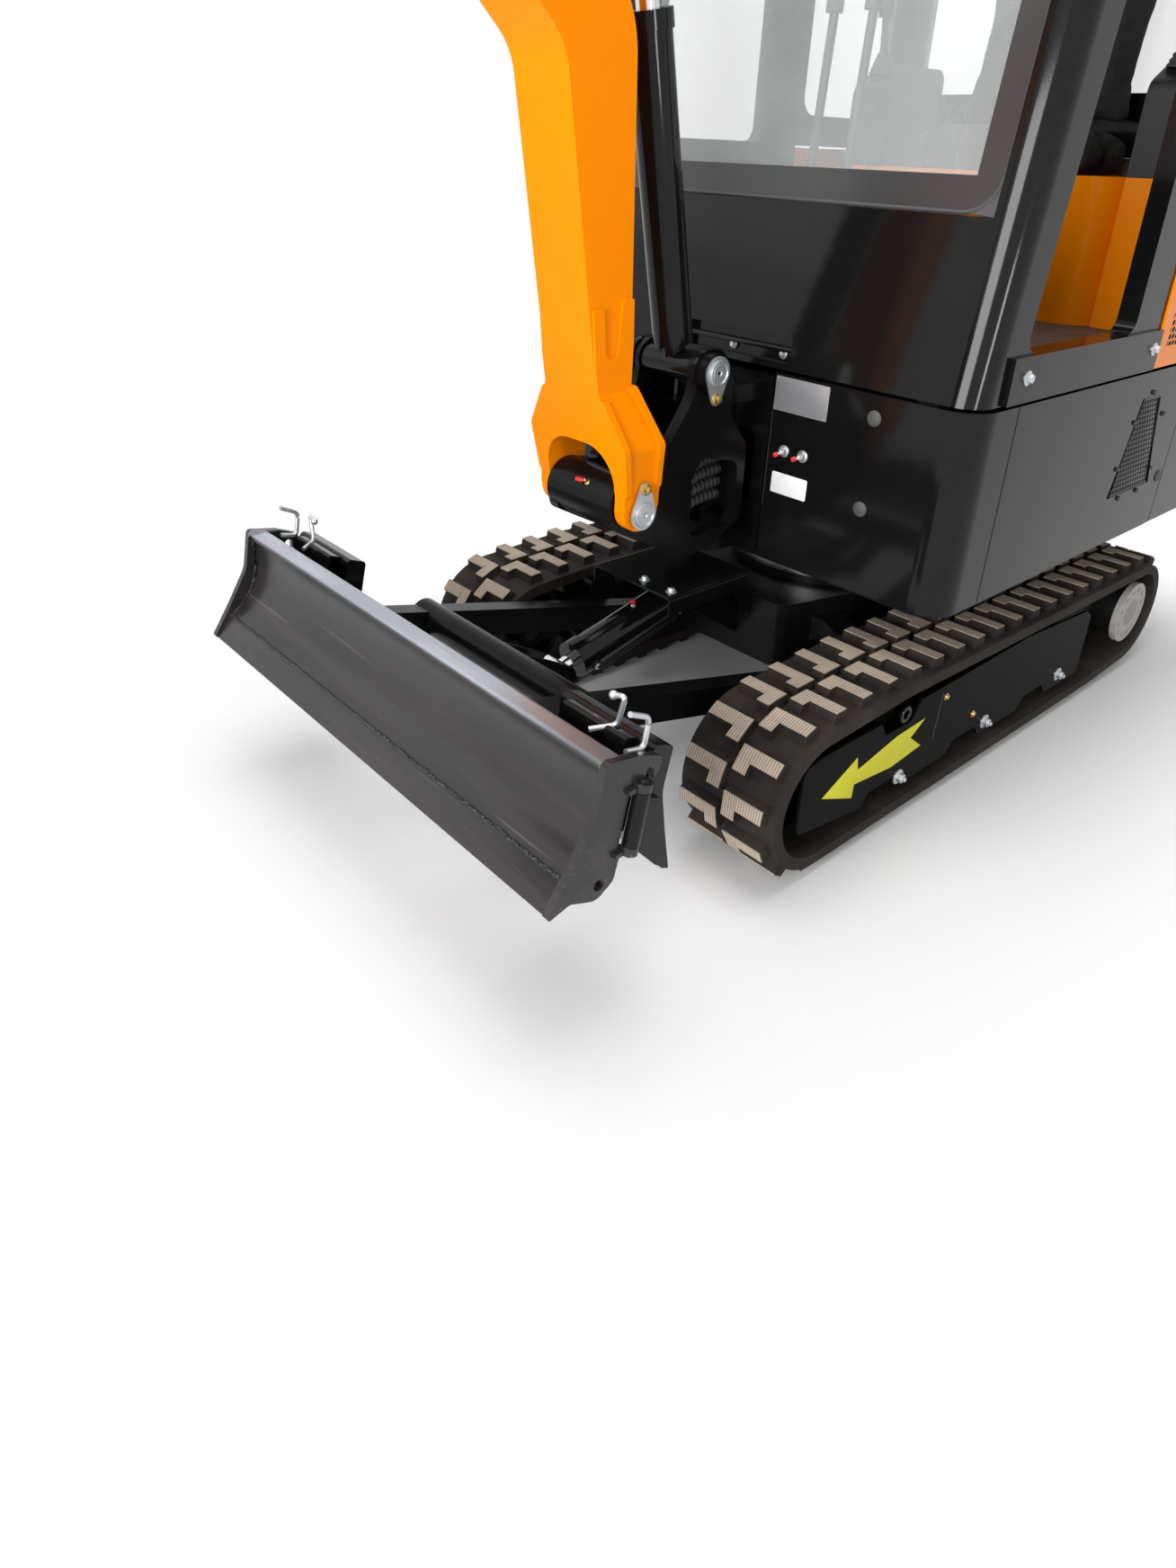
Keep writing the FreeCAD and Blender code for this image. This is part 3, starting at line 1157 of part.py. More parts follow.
# ---------------------------------------------------------------- swing post and boom
def swing_post():
    """Casting between the house's king pins and the boom's foot, open between its hubs for the hoses."""
    fy, fz = FOOT_PIN
    rear = KING_Y + 18
    side = [(KING_Y - 46, 452, 10), (KING_Y - 34, 462), (rear, 486, 20), (rear, 624, 40),
            (KING_Y - 36, HUB_TOP - 8, 8), (KING_Y - 36, 745, 14), (-497, 804, 33), (-565, 804, 33),
            (-552, 740, 90), (-632, 630, 50), (-650, 608, 10), (fy, fz + 44), (fy - 47, fz),
            (-736, 532, 20), (-560, 441, 30)]
    window = [(-550, 473, 24), (rear - 20, 482, 24), (rear - 20, 600, 24), (-528, 620, 24), (-550, 590, 20)]
    cheek = slab(side, yz, POST_INNER, POST_OUTER).cut(slab(window, yz, 0, 100))
    solids = both_sides(cheek)
    for low, high in ((HUB_BOTTOM, PASSAGE[0]), (PASSAGE[1], HUB_TOP)):
        solids.append(post_z(0, KING_Y, low, high, HUB_RADIUS))
        solids.append(box(-POST_INNER - 1, POST_INNER + 1, -505, KING_Y - 20, low, high))
    solids.append(pin_x(FOOT_PIN, -POST_OUTER, POST_OUTER, 47))
    solids.append(pin_x(FOOT_PIN, -LEG_OUTER - 8, LEG_OUTER + 8, FOOT_PIN_RADIUS))
    solids += both_sides(pin_x(BOOM_CYL_PIN, POST_INNER, 98, 30))
    solids.append(pin_x(BOOM_CYL_PIN, -104, 104, EYE_PIN))
    solids += hose_plates()
    body = join(solids)
    bore = post_z(0, KING_Y, HUB_BOTTOM - 1, HUB_TOP + 1, KING_PIN_RADIUS + PIN_FIT)
    return cut(body, [bore])


HOSE_RADIUS = 10.0
HOSE_XS = (-24.0, 24.0)
HOSE_ROUTE = [(-424.0, 0.0, 0.0), (-452.0, 0.0, 0.0), (-488.0, -5.0, 0.3), (-530.0, -15.0, 1.0),
              (-566.0, -15.0, 1.0)]
HOSE_ZS = (523.0, 547.0, 571.0, 595.0)


def hose_plates():
    """Plates between the post's cheeks where the hoses begin and end."""
    plates = []
    for place, step in ((HOSE_ROUTE[0], 1), (HOSE_ROUTE[-1], -1)):
        near, drop = place[0] + step * FIT, place[1]
        faces = sorted((near, near + step * 8))
        low, high = HOSE_ZS[0] + drop - 20, HOSE_ZS[-1] + drop + 20
        plates.append(box(-POST_INNER - 1, POST_INNER + 1, *faces, low, high))
    return plates


def tube_along(points, radius):
    """Round tube through points: straight runs joined by arcs as large as the runs allow."""
    count = len(points)
    edges, last = [], points[0]
    for i in range(1, count - 1):
        here, back, ahead = points[i], points[i - 1] - points[i], points[i + 1] - points[i]
        reach = 0.45 * min(back.Length, ahead.Length)
        back.normalize()
        ahead.normalize()
        half = back.getAngle(ahead) / 2
        bend = reach * math.tan(half)
        centre = here + (back + ahead).normalize() * (bend / math.sin(half))
        start, end = here + back * reach, here + ahead * reach
        crown = centre + (here - centre).normalize() * bend
        edges += [Part.makeLine(last, start), Part.Arc(start, crown, end).toShape()]
        last = end
    edges.append(Part.makeLine(last, points[-1]))
    path = Part.Wire(edges)
    ring = Part.Wire(Part.Circle(points[0], points[1] - points[0], radius).toShape())
    return path.makePipeShell([ring], True, False)


def post_hoses():
    """Hoses that run through the swing post below the upper hub."""
    hoses = []
    for x in HOSE_XS:
        for z in HOSE_ZS:
            shift = 4.0 + (z - HOSE_ZS[0]) / 8
            points = [V(x + shift * share, y, z + drop) for y, drop, share in HOSE_ROUTE]
            hoses.append(tube_along(points, HOSE_RADIUS))
    return hoses


def boom_side():
    """Side outline of the boom from foot to tip."""
    ty, tz = BOOM_TIP
    front = [(-735, 568), (-735, 590, 10), (-751, 677, 25), (-764, 757, 60), (-836, 1217, 90)]
    rear = [(-712, 1277, 150), (-691, 765, 60), (-662, 677, 25), (-659, 600, 10), (-659, 568)]
    return front + [(ty - 29.6, tz - 33.9), (ty + 29.6, tz + 33.9)] + rear


def boom_front():
    """Front outline of the boom: two legs flaring out below, a narrow box above."""
    left = [(LEG_OUTER, 500), (LEG_OUTER + 2, 590), (LEG_OUTER + 7, 670, 20), (BOOM_HALF, 762, 40),
            (BOOM_HALF, 2000)]
    right = [(-point[0],) + point[1:] for point in reversed(left)]
    return left + right


def foot_plate(side, step, foot, shoulder):
    """Plate over the front (step +1) or the rear (step -1) of the boom's foot, proud of its sides."""
    strip = side.cut(side.translated(V(0, step * FOOT_PLATE, 0)))
    half = LEG_OUTER + FOOT_PROUD
    points = [(-half, foot, 6), (half, foot, 6), (half + 7, 674, 16), (BOOM_HALF + 14, shoulder, 6),
              (-BOOM_HALF - 14, shoulder, 6), (-half - 7, 674, 16)]
    return strip.common(slab(points, xz, -900, -500))


def doubler():
    """Side plates over the box above the flare, with a round-bottomed notch in their upper edge."""
    points = [(-766, 744), (-694, 744), (-693, 893, 8), (-719, 893, 8), (-724, 806, 12), (-750, 806, 12),
              (-757, 882, 6), (-778, 882, 6)]
    return slab(points, yz, -BOOM_HALF - 5, BOOM_HALF + 5)


FOOT_PLATE = 12.0
FOOT_PROUD = 6.0
ARCH_TOP = 668.0


def boom():
    """Flared box boom with forked foot and forked tip."""
    side = slab(boom_side(), yz, -150, 150)
    front = slab(boom_front(), xz, -1500, -500)
    shapes = [side.common(front), foot_plate(side, 1, 592, 746), foot_plate(side, -1, 600, 762),
              doubler().common(side)]
    arch = slab([(-LEG_INNER, 480), (LEG_INNER, 480), (LEG_INNER, ARCH_TOP, 60), (-LEG_INNER, ARCH_TOP, 60)],
                xz, -900, -500)
    solids = [join(shapes).cut(arch)] + both_sides(pin_x(FOOT_PIN, LEG_INNER, LEG_OUTER, FOOT_BOSS_RADIUS))
    solids.append(pin_x(BOOM_TIP, -BOOM_HALF, BOOM_HALF, BOOM_TIP_RADIUS))
    solids += fork(BOOM_LUG, [(-752, 1296), (-815, 1350)], 26, plate=16)
    solids += pin_heads(BOOM_LUG, 42)
    solids += fork(ARM_CYL_LUG, [(-745, 1270), (-860, 1375)], EYE_WIDTH / 2 + SIDE_GAP)
    tools = [pin_x(BOOM_TIP, -ARM_HALF - SIDE_GAP, ARM_HALF + SIDE_GAP, 102),
             pin_x(FOOT_PIN, -LEG_OUTER - 10, LEG_OUTER + 10, FOOT_PIN_RADIUS + PIN_FIT)]
    body = cut(join(solids), tools)
    pins = [pin_x(BOOM_TIP, -BOOM_HALF - 8, BOOM_HALF + 8, ARM_PIN_RADIUS),
            pin_x(ARM_CYL_LUG, -fork_outside() - 6, fork_outside() + 6, EYE_PIN)]
    return join([body] + pins)


# ---------------------------------------------------------------- arm and bucket
def arm_place(along, across, x=0.0):
    """Lay out (along, across) points of the arm in the machine's side plane."""
    y, z = on_arm(along, across)
    return V(x, y, z)


def arm_slab(points, x0, x1):
    wire = outline(points, arm_place)
    x0, x1 = sorted((x0, x1))
    return raise_wire(wire, V(1, 0, 0), x0, x1)


ROCKER_PIVOT = (ARM_LENGTH - ROCKER_BACK, 0.0)
BUCKET_PIN = (ARM_LENGTH, 0.0)
ARM_BOSS_HALF = 55.0
ARM_TIP_RADIUS = 30.0
ROCKER_PLATE = (56.0, 68.0)
LINK_PLATE = (30.0, 52.0)
EAR_PLATE = (56.0, 74.0)
TAIL_GAP = EYE_WIDTH / 2 + SIDE_GAP


def arm():
    """Dipper arm with forked tail, bosses and the bucket cylinder's fork."""
    tail_u, tail_v = ARM_TAIL
    beam = arm_slab([(-20, -42, 30), (BUCKET_PIN[0], -ARM_TIP_RADIUS), (BUCKET_PIN[0], 26),
                     (ROCKER_PIVOT[0] + 20, 26, 60), (300, 58, 80), (80, 62, 60), (-10, 100, 30),
                     (tail_u + 10, tail_v + 28, 10), (tail_u - 18, tail_v - 18, 10), (-60, 0, 40)],
                    -ARM_HALF, ARM_HALF)
    body = join([beam, pin_x(on_arm(0, 0), -ARM_HALF, ARM_HALF, 46),
                 pin_x(on_arm(*BUCKET_PIN), -ARM_BOSS_HALF, ARM_BOSS_HALF, ARM_TIP_RADIUS),
                 pin_x(on_arm(*ROCKER_PIVOT), -ARM_BOSS_HALF, ARM_BOSS_HALF, 27)])
    slot = [(-300, -60), (-72, -60), (-72, 70), (-20, 170), (-300, 260)]
    body = body.cut(arm_slab(slot, -TAIL_GAP, TAIL_GAP))
    solids = [body] + both_sides(pin_x(on_arm(*ARM_TAIL), TAIL_GAP, ARM_HALF, EYE_RADIUS))
    solids += fork(on_arm(*BUCKET_CYL_LUG), [on_arm(170, 55), on_arm(310, 50)], TAIL_GAP)
    solids += pin_heads(on_arm(*ARM_TAIL), ARM_HALF)
    body = cut(join(solids), [pin_x(BOOM_TIP, -ARM_HALF - 1, ARM_HALF + 1, ARM_PIN_RADIUS + PIN_FIT)])
    pins = [pin_x(on_arm(*BUCKET_PIN), -EAR_PLATE[1] - 8, EAR_PLATE[1] + 8, ARM_PIN_RADIUS),
            pin_x(on_arm(*ROCKER_PIVOT), -ROCKER_PLATE[1] - 8, ROCKER_PLATE[1] + 8, EYE_PIN),
            pin_x(on_arm(*BUCKET_CYL_LUG), -fork_outside() - 6, fork_outside() + 6, EYE_PIN)]
    return join([body] + pins)


def plate_between(first, second, radius, span):
    """Straight link plate with round ends between two (y, z) points."""
    x0, x1 = span
    bar = bar_yz(first, second, radius * 1.7, x0, x1)
    return join([bar, pin_x(first, x0, x1, radius), pin_x(second, x0, x1, radius)])


def rocker():
    """Pair of rocker plates with stub pins at their free end."""
    pivot = on_arm(*ROCKER_PIVOT)
    end = on_arm(*bucket_linkage(EAR_ANGLE)[0])
    plate = plate_between(pivot, end, 24, ROCKER_PLATE)
    plate = plate.cut(pin_x(pivot, ROCKER_PLATE[0] - 1, ROCKER_PLATE[1] + 1, EYE_PIN + PIN_FIT))
    stub = pin_x(end, LINK_PLATE[0] - 3, ROCKER_PLATE[1] + 8, EYE_PIN)
    return Part.makeCompound(both_sides(join([plate, stub])))


def link():
    """Bucket link: two plates joined by a cross tube."""
    end, ear = [on_arm(*p) for p in bucket_linkage(EAR_ANGLE)]
    plate = plate_between(end, ear, 24, LINK_PLATE)
    plate = plate.cut(pin_x(end, LINK_PLATE[0] - 1, LINK_PLATE[1] + 1, EYE_PIN + PIN_FIT))
    middle = (end[0] * 0.4 + ear[0] * 0.6, end[1] * 0.4 + ear[1] * 0.6)
    return join(both_sides(plate) + [pin_x(middle, -LINK_PLATE[1] + 4, LINK_PLATE[1] - 4, 13)])


def bucket_place(p, q, x=0.0):
    """Bucket's own axes: p from the bucket pin to the tooth tips, q towards the bucket's back."""
    tooth = math.radians(EAR_ANGLE - EAR_TO_TOOTH)
    along = p * math.cos(tooth) - q * math.sin(tooth)
    across = p * math.sin(tooth) + q * math.cos(tooth)
    return arm_place(BUCKET_PIN[0] + along, across, x)


def bucket_slab(points, x0, x1):
    x0, x1 = sorted((x0, x1))
    return raise_wire(outline(points, bucket_place), V(1, 0, 0), x0, x1)


BUCKET_SIDE = [(38, -52, 12), (430, 2, 10), (462, 40, 10), (420, 190, 110), (235, 268, 110), (60, 175, 90),
               (-2, 66, 30)]
BUCKET_INSIDE = [(20, -80), (432, -60), (452, 40), (411, 186, 102), (235, 259, 102), (67, 170, 82),
                 (8, 64, 22)]


def bucket():
    """Digging bucket: curved shell, side plates and the two ears that hang it."""
    outer = bucket_slab(BUCKET_SIDE, -BUCKET_HALF, BUCKET_HALF)
    shell = outer.cut(bucket_slab(BUCKET_INSIDE, -BUCKET_HALF + BUCKET_PLATE, BUCKET_HALF - BUCKET_PLATE))
    pin, link_pin = on_arm(*BUCKET_PIN), on_arm(*bucket_linkage(EAR_ANGLE)[1])
    ear_outline = [(-30, -16, 14), (20, -30, 20), (60, -20), (80, 182), (10, 130, 20), (-70, 96, 22),
                   (-62, 60, 20)]
    ear = join([bucket_slab(ear_outline, *EAR_PLATE), pin_x(pin, *EAR_PLATE, 33),
                pin_x(link_pin, *EAR_PLATE, 26)])
    ear = ear.cut([pin_x(pin, EAR_PLATE[0] - 1, EAR_PLATE[1] + 1, ARM_PIN_RADIUS + PIN_FIT)])
    ears = both_sides(join([ear, pin_x(link_pin, EAR_PLATE[1] - 1, EAR_PLATE[1] + 7, 17)]))
    clear = pin_x(pin, -EAR_PLATE[0], EAR_PLATE[0], 62)
    return cut(join([shell] + ears), [clear] + bucket_teeth())


def bucket_teeth():
    """The three teeth, each forked over the bucket's lip."""
    points = [(TOOTH_RADIUS, 2), (TOOTH_RADIUS, 8), (462, 40), (440, 46), (436, 14), (455, 4)]
    outer = BUCKET_HALF - TOOTH_INSET
    return [bucket_slab(points, x - TOOTH_HALF, x + TOOTH_HALF) for x in (-outer, 0.0, outer)]


# ---------------------------------------------------------------- pieces
def all_nodes():
    """Every sub-component, by name."""
    nodes = {}
    nodes["car_body"] = car_body()
    nodes["cylinder_guard"] = cylinder_guard()
    nodes["slew_bearing"] = slew_bearing()
    paired = {"track_frame": track_frame(), "track": track(), "idler": idler(), "rollers": rollers(),
              "drive": drive()}
    nodes["blade"] = blade()
    nodes["blade_edge"] = blade_edge()
    nodes["blade_arms"] = blade_arms()
    paired["wing"] = wing()
    paired["wing_pin"] = wing_pin()
    nodes["blade_cylinder_barrel"], nodes["blade_cylinder_rod"] = cylinder_pair(
        BLADE_CYL_BASE, BLADE_CYL_EYE, blade_cyl_motion()[2:], BLADE_CYL_RADIUS, 15.0)
    nodes["house_frame"] = house_frame()
    paired["front_panel"] = front_panel()
    nodes["left_side_panel"] = side_panel(True)
    nodes["right_side_panel"] = mirrored(side_panel(False))
    nodes["counterweight"] = counterweight()
    nodes["engine"] = engine()
    nodes["cab_frame"] = cab_frame()
    nodes["cab_roof"] = cab_roof()
    nodes["cab_front_panel"] = cab_front_panel()
    nodes["cab_floor"] = join([cab_floor()] + hood_hinges())
    nodes["windscreen"] = windscreen()
    paired["quarter_window"] = quarter_glass()
    nodes["right_window"] = right_glass()
    nodes["rear_window"] = rear_glass()
    paired["skirt"] = skirt()
    nodes["seat_base"] = seat_base()
    nodes["seat"] = seat()
    nodes["controls"] = Part.makeCompound(controls())
    paired["engine_panel"] = engine_panel()
    nodes["engine_hood"] = engine_hood()
    nodes["swing_post"] = swing_post()
    nodes["post_hoses"] = Part.makeCompound(post_hoses())
    nodes["boom"] = boom()
    nodes["boom_cylinder_barrel"], nodes["boom_cylinder_rod"] = cylinder_pair(
        BOOM_CYL_PIN, BOOM_LUG, boom_cyl_motion()[2:], BOOM_CYL_RADIUS, 17.0, 2 * POST_INNER - 2, 50.0)
    nodes["arm"] = arm()
    nodes["arm_cylinder_barrel"], nodes["arm_cylinder_rod"] = cylinder_pair(
        ARM_CYL_LUG, on_arm(*ARM_TAIL), arm_cyl_motion()[2:], ARM_CYL_RADIUS, 16.0)
    nodes["bucket"] = bucket()
    nodes["bucket_teeth"] = Part.makeCompound(bucket_teeth())
    nodes["bucket_rocker"] = rocker()
    nodes["bucket_link"] = link()
    rocker_end = on_arm(*bucket_linkage(EAR_ANGLE)[0])
    nodes["bucket_cylinder_barrel"], nodes["bucket_cylinder_rod"] = cylinder_pair(
        on_arm(*BUCKET_CYL_LUG), rocker_end, bucket_motion()[4:], BUCKET_CYL_RADIUS, 14.0)
    for name, shape in paired.items():
        nodes["left_" + name] = shape
        nodes["right_" + name] = mirrored(shape)
    return nodes


def settled(nodes):
    """How far everything moves so that the origin is at the bottom centre of the whole box."""
    whole = Part.makeCompound(list(nodes.values())).BoundBox
    return V(-(whole.XMin + whole.XMax) / 2, -(whole.YMin + whole.YMax) / 2, -whole.ZMin)


def main():
    nodes = all_nodes()
    shift = settled(nodes)
    os.makedirs("parts", exist_ok=True)
    for name, shape in nodes.items():
        placed = shape.translated(shift)
        if not placed.isValid():
            print("not valid:", name)
        placed.exportStep(os.path.join("parts", name + ".step"))
    print("nodes", len(nodes), "shift", round(shift.x, 4), round(shift.y, 4), round(shift.z, 4))


if __name__ == "__main__":
    main()
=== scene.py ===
# %% [markdown]
# # A mini excavator, dressed for a portrait
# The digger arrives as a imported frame: every steel piece already has its true size and place. This
# notebook adds what a maker adds last: paint, rubber, zinc bolts, pipes, glass and a padded seat.
# Loading comes first, because every later piece takes its place from the frame and not from a guess.

# %% Load the frame
import math

import bmesh
import bpy
from mathutils import Matrix, Vector


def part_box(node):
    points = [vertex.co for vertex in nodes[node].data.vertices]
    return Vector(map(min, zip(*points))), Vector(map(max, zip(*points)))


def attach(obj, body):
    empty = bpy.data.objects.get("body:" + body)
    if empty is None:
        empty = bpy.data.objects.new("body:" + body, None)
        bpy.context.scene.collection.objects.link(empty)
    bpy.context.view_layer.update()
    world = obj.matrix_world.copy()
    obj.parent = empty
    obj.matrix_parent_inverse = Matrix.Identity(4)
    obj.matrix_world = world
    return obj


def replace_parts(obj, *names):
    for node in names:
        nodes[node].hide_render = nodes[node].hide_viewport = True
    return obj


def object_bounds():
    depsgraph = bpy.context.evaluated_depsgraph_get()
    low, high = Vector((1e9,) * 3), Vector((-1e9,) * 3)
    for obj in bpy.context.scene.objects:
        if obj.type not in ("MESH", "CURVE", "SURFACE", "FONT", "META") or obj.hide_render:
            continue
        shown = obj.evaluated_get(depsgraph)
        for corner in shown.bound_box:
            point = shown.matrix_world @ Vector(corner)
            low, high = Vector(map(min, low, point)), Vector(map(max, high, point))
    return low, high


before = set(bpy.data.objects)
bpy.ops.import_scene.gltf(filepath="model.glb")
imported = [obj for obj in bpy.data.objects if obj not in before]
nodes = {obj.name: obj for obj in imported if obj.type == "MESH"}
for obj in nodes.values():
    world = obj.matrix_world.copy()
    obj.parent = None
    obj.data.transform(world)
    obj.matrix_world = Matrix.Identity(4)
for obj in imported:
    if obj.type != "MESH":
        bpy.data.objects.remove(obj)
cad_low, cad_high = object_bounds()
print("size", [round(v, 3) for v in cad_high - cad_low])

# %% [markdown]
# ## One origin for the whole machine
# The frame's origin lies under the middle of its box, which is not a point a builder would measure
# from. The slewing ring's centre is: everything on the machine is laid out from the axis it turns
# about. So a point is written as millimetres to the machine's left, to its rear and above the ground,
# and one helper turns it into the frame's metres.

# %% Machine coordinates
ring_low, ring_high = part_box("slew_bearing")
SLEW = Vector(((ring_low.x + ring_high.x) / 2, (ring_low.y + ring_high.y) / 2, 0.0))
MM = 1000.0  # millimetres in a metre


def at(x, y, z):
    """A point from millimetres left, rear and up of the slewing axis on the ground."""
    return SLEW + Vector((x, y, z)) / MM


print("slewing axis at", [round(v, 4) for v in SLEW])

# %% [markdown]
# ## The camera
# A wide lens held close and high, looking down at the machine's front left corner. It could be
# aimed with a constraint, but a fixed place, heading, tilt and roll are easier to read and to check.
# The small shift puts the optical axis where the framing needs it, above the middle of the view.

# %% Camera
camera = bpy.data.objects.new("camera", bpy.data.cameras.new("camera"))
bpy.context.scene.collection.objects.link(camera)
heading, tilt, roll = [math.radians(v) for v in (47.57, 26.24, 2.27)]
turn = Matrix.Rotation(heading, 4, "Z") @ Matrix.Rotation(math.pi / 2 - tilt, 4, "X")
turn = turn @ Matrix.Rotation(roll, 4, "Z")
camera.matrix_world = Matrix.Translation(at(1210.0, -1798.5, 1100.0)) @ turn
camera.data.sensor_width = 36.0
camera.data.lens = 22.907
camera.data.shift_x = -0.0040
camera.data.shift_y = -0.0935
camera.data.clip_start = 0.01
camera.data.clip_end = 100.0
bpy.context.scene.camera = camera
print("camera", [round(v, 3) for v in camera.location], "lens", camera.data.lens)

# %% [markdown]
# ## Writing materials as sums
# A procedural material is arithmetic on patterns. Wiring dozens of Math nodes by hand hides that, so
# a small class wraps a socket and lets Python's own operators add the nodes. Everything else, from a
# noise texture to the shader, comes from one method that takes a type, its settings and its inputs.

# %% Socket arithmetic
class Value:
    """A number that varies over the surface, ready for sums."""

    def __init__(self, finish, socket):
        self.finish = finish
        self.socket = socket

    def _sum(self, operation, first, second=None):
        return self.finish.node("ShaderNodeMath", {"operation": operation}, {0: first, 1: second})["Value"]

    def __add__(self, other):
        return self._sum("ADD", self, other)

    def __sub__(self, other):
        return self._sum("SUBTRACT", self, other)

    def __rsub__(self, other):
        return self._sum("SUBTRACT", other, self)

    def __mul__(self, other):
        return self._sum("MULTIPLY", self, other)

    def __truediv__(self, other):
        return self._sum("DIVIDE", self, other)

    def __mod__(self, other):
        return self._sum("MODULO", self, other)

    def over(self, other):
        """1 where this is the greater, else 0."""
        return self._sum("GREATER_THAN", self, other)

    def most(self, other):
        return self._sum("MAXIMUM", self, other)

    def least(self, other):
        return self._sum("MINIMUM", self, other)

    def size(self):
        return self._sum("ABSOLUTE", self)

    def floor(self):
        return self._sum("FLOOR", self)

    def root(self):
        return self._sum("SQRT", self)

    def wave(self, pitch):
        """A 0 to 1 ripple that repeats every pitch metres."""
        return self._sum("SINE", self * (2 * math.pi / pitch)) * 0.5 + 0.5


class Finish:
    """A material and its nodes."""

    def __init__(self, name, holder=None):
        self.material = holder or bpy.data.materials.new(name)
        self.material.use_nodes = True
        self.tree = self.material.node_tree
        self.tree.nodes.clear()

    def node(self, kind, settings=None, inputs=None):
        """Add a node, set it up, feed its sockets, and return its outputs by name."""
        made = self.tree.nodes.new(kind)
        for key, setting in (settings or {}).items():
            setattr(made, key, setting)
        for key, value in (inputs or {}).items():
            if isinstance(value, Value):
                self.tree.links.new(value.socket, made.inputs[key])
            elif value is not None:
                made.inputs[key].default_value = value
        return {out.name: Value(self, out) for out in made.outputs if out.enabled}

    def place(self, scale=(1, 1, 1)):
        """Object coordinates in metres, stretched by scale."""
        coords = self.node("ShaderNodeTexCoord")["Object"]
        return self.node("ShaderNodeMapping", None, {"Vector": coords, "Scale": scale})["Vector"]

    def axes(self):
        """The three object coordinates as numbers."""
        coords = self.node("ShaderNodeTexCoord")["Object"]
        parts = self.node("ShaderNodeSeparateXYZ", None, {"Vector": coords})
        return parts["X"], parts["Y"], parts["Z"]

    def noise(self, scale, detail=3.0, rough=0.55, stretch=(1, 1, 1)):
        return self.node("ShaderNodeTexNoise", None, {
            "Vector": self.place(stretch), "Scale": scale, "Detail": detail, "Roughness": rough})["Fac"]

    def smooth(self, value, low, high, bottom=0.0, top=1.0, kind="SMOOTHSTEP"):
        """Ease value from bottom to top as it passes from low to high."""
        return self.node("ShaderNodeMapRange", {"interpolation_type": kind, "clamp": True}, {
            "Value": value, "From Min": low, "From Max": high, "To Min": bottom, "To Max": top})["Result"]

    def straight(self, value, low, high, bottom, top):
        """Run value straight from bottom to top as it passes from low to high, and hold it outside."""
        return self.smooth(value, low, high, bottom, top, "LINEAR")

    def blend(self, mask, first, second):
        """One colour where the mask is 0, the other where it is 1."""
        made = self.tree.nodes.new("ShaderNodeMix")
        made.data_type = "RGBA"
        for index, value in ((0, mask), (6, first), (7, second)):
            if isinstance(value, Value):
                self.tree.links.new(value.socket, made.inputs[index])
            elif index:
                made.inputs[index].default_value = (*value, 1.0)
            else:
                made.inputs[index].default_value = value
        return Value(self, made.outputs[2])

    def seen(self):
        """1 for rays from the camera, and for those that a polished surface or glass sends on."""
        path = self.node("ShaderNodeLightPath")
        return path["Is Camera Ray"].most(path["Is Glossy Ray"]).most(path["Is Transmission Ray"])

    def bump(self, height, distance, strength=1.0):
        return self.node("ShaderNodeBump", None, {
            "Height": height, "Distance": distance, "Strength": strength})["Normal"]

    def done(self, **sockets):
        """The principled shader on these sockets, into the output."""
        inputs = {}
        for name, value in sockets.items():
            key = name.replace("_", " ")
            if isinstance(value, tuple) and len(value) == 3 and key != "Normal":
                value = (*value, 1.0)
            inputs[key] = value
        shader = self.node("ShaderNodeBsdfPrincipled", None, inputs)["BSDF"]
        self.node("ShaderNodeOutputMaterial", None, {"Surface": shader})
        return self.material


# %% [markdown]
# ## Paint
# The panels and the blade wear a deep black gloss; the boom, the arm and the engine covers a warm
# orange. Sprayed paint is never optically flat: a faint orange-peel ripple bends the reflections, and
# handling leaves a thin film of dust that dulls it in patches. A clear coat could be stacked on top,
# but one glossy layer with a low specular level keeps the black deep and the orange saturated.

# %% Paint recipe
DUST_COLOUR = (0.26, 0.23, 0.20)
ORANGE_COLOUR = (0.97, 0.255, 0.0)


def dust_on(f, amount):
    """Patchy film with fine specks, from 0 to about the given amount."""
    film = f.smooth(f.noise(4.0, 5.0, 0.62), 0.42, 0.78)
    specks = f.smooth(f.noise(160.0, 2.0), 0.62, 0.75)
    return (film * 0.7 + specks * 0.3) * amount


def paint(name, colour, rough, dust_amount, gloss):
    """Sprayed paint; gloss is its specular level."""
    f = Finish(name)
    dust = dust_on(f, dust_amount)
    tint = f.blend(dust, colour, DUST_COLOUR)
    peel = f.noise(420.0, 1.0)
    return f.done(Base_Color=tint, Roughness=dust * 0.6 + rough, Specular_IOR_Level=gloss,
                  Normal=f.bump(peel, 0.0004, 0.06))


BLACK_GLOSS = paint("black_gloss_paint", (0.005, 0.005, 0.0055), 0.11, 0.020, 0.24)
BLACK_SATIN = paint("black_satin_paint", (0.0045, 0.0045, 0.005), 0.24, 0.030, 0.13)
BLACK_COVER = paint("black_cover_paint", (0.006, 0.006, 0.006), 0.20, 0.015, 0.016)
ORANGE = paint("orange_paint", ORANGE_COLOUR, 0.22, 0.006, 0.05)
print("paints", [m.name for m in (BLACK_GLOSS, BLACK_SATIN, BLACK_COVER, ORANGE)])

# %% [markdown]
# ## Blade paint
# The moldboard is rolled plate under thin black paint. Dirt has already slid over it, so its lower half
# is dulled to a brown-grey, streaked along its length, and its wearing edge shows scratches. Along its top
# runs a painted highlight: a bluish-white metallic strip that stands in for the sky's reflection on the cap,
# broken by the streaks and dimmer towards the machine's left. Noise that is stretched along the machine's
# width gives the streaks, and height above the ground grades them.

# %% Blade paint
BLADE_CAP_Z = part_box("blade")[1].z
# half the length of the painted highlight along the blade's cap, in metres
HIGHLIGHT_HALF = 0.484


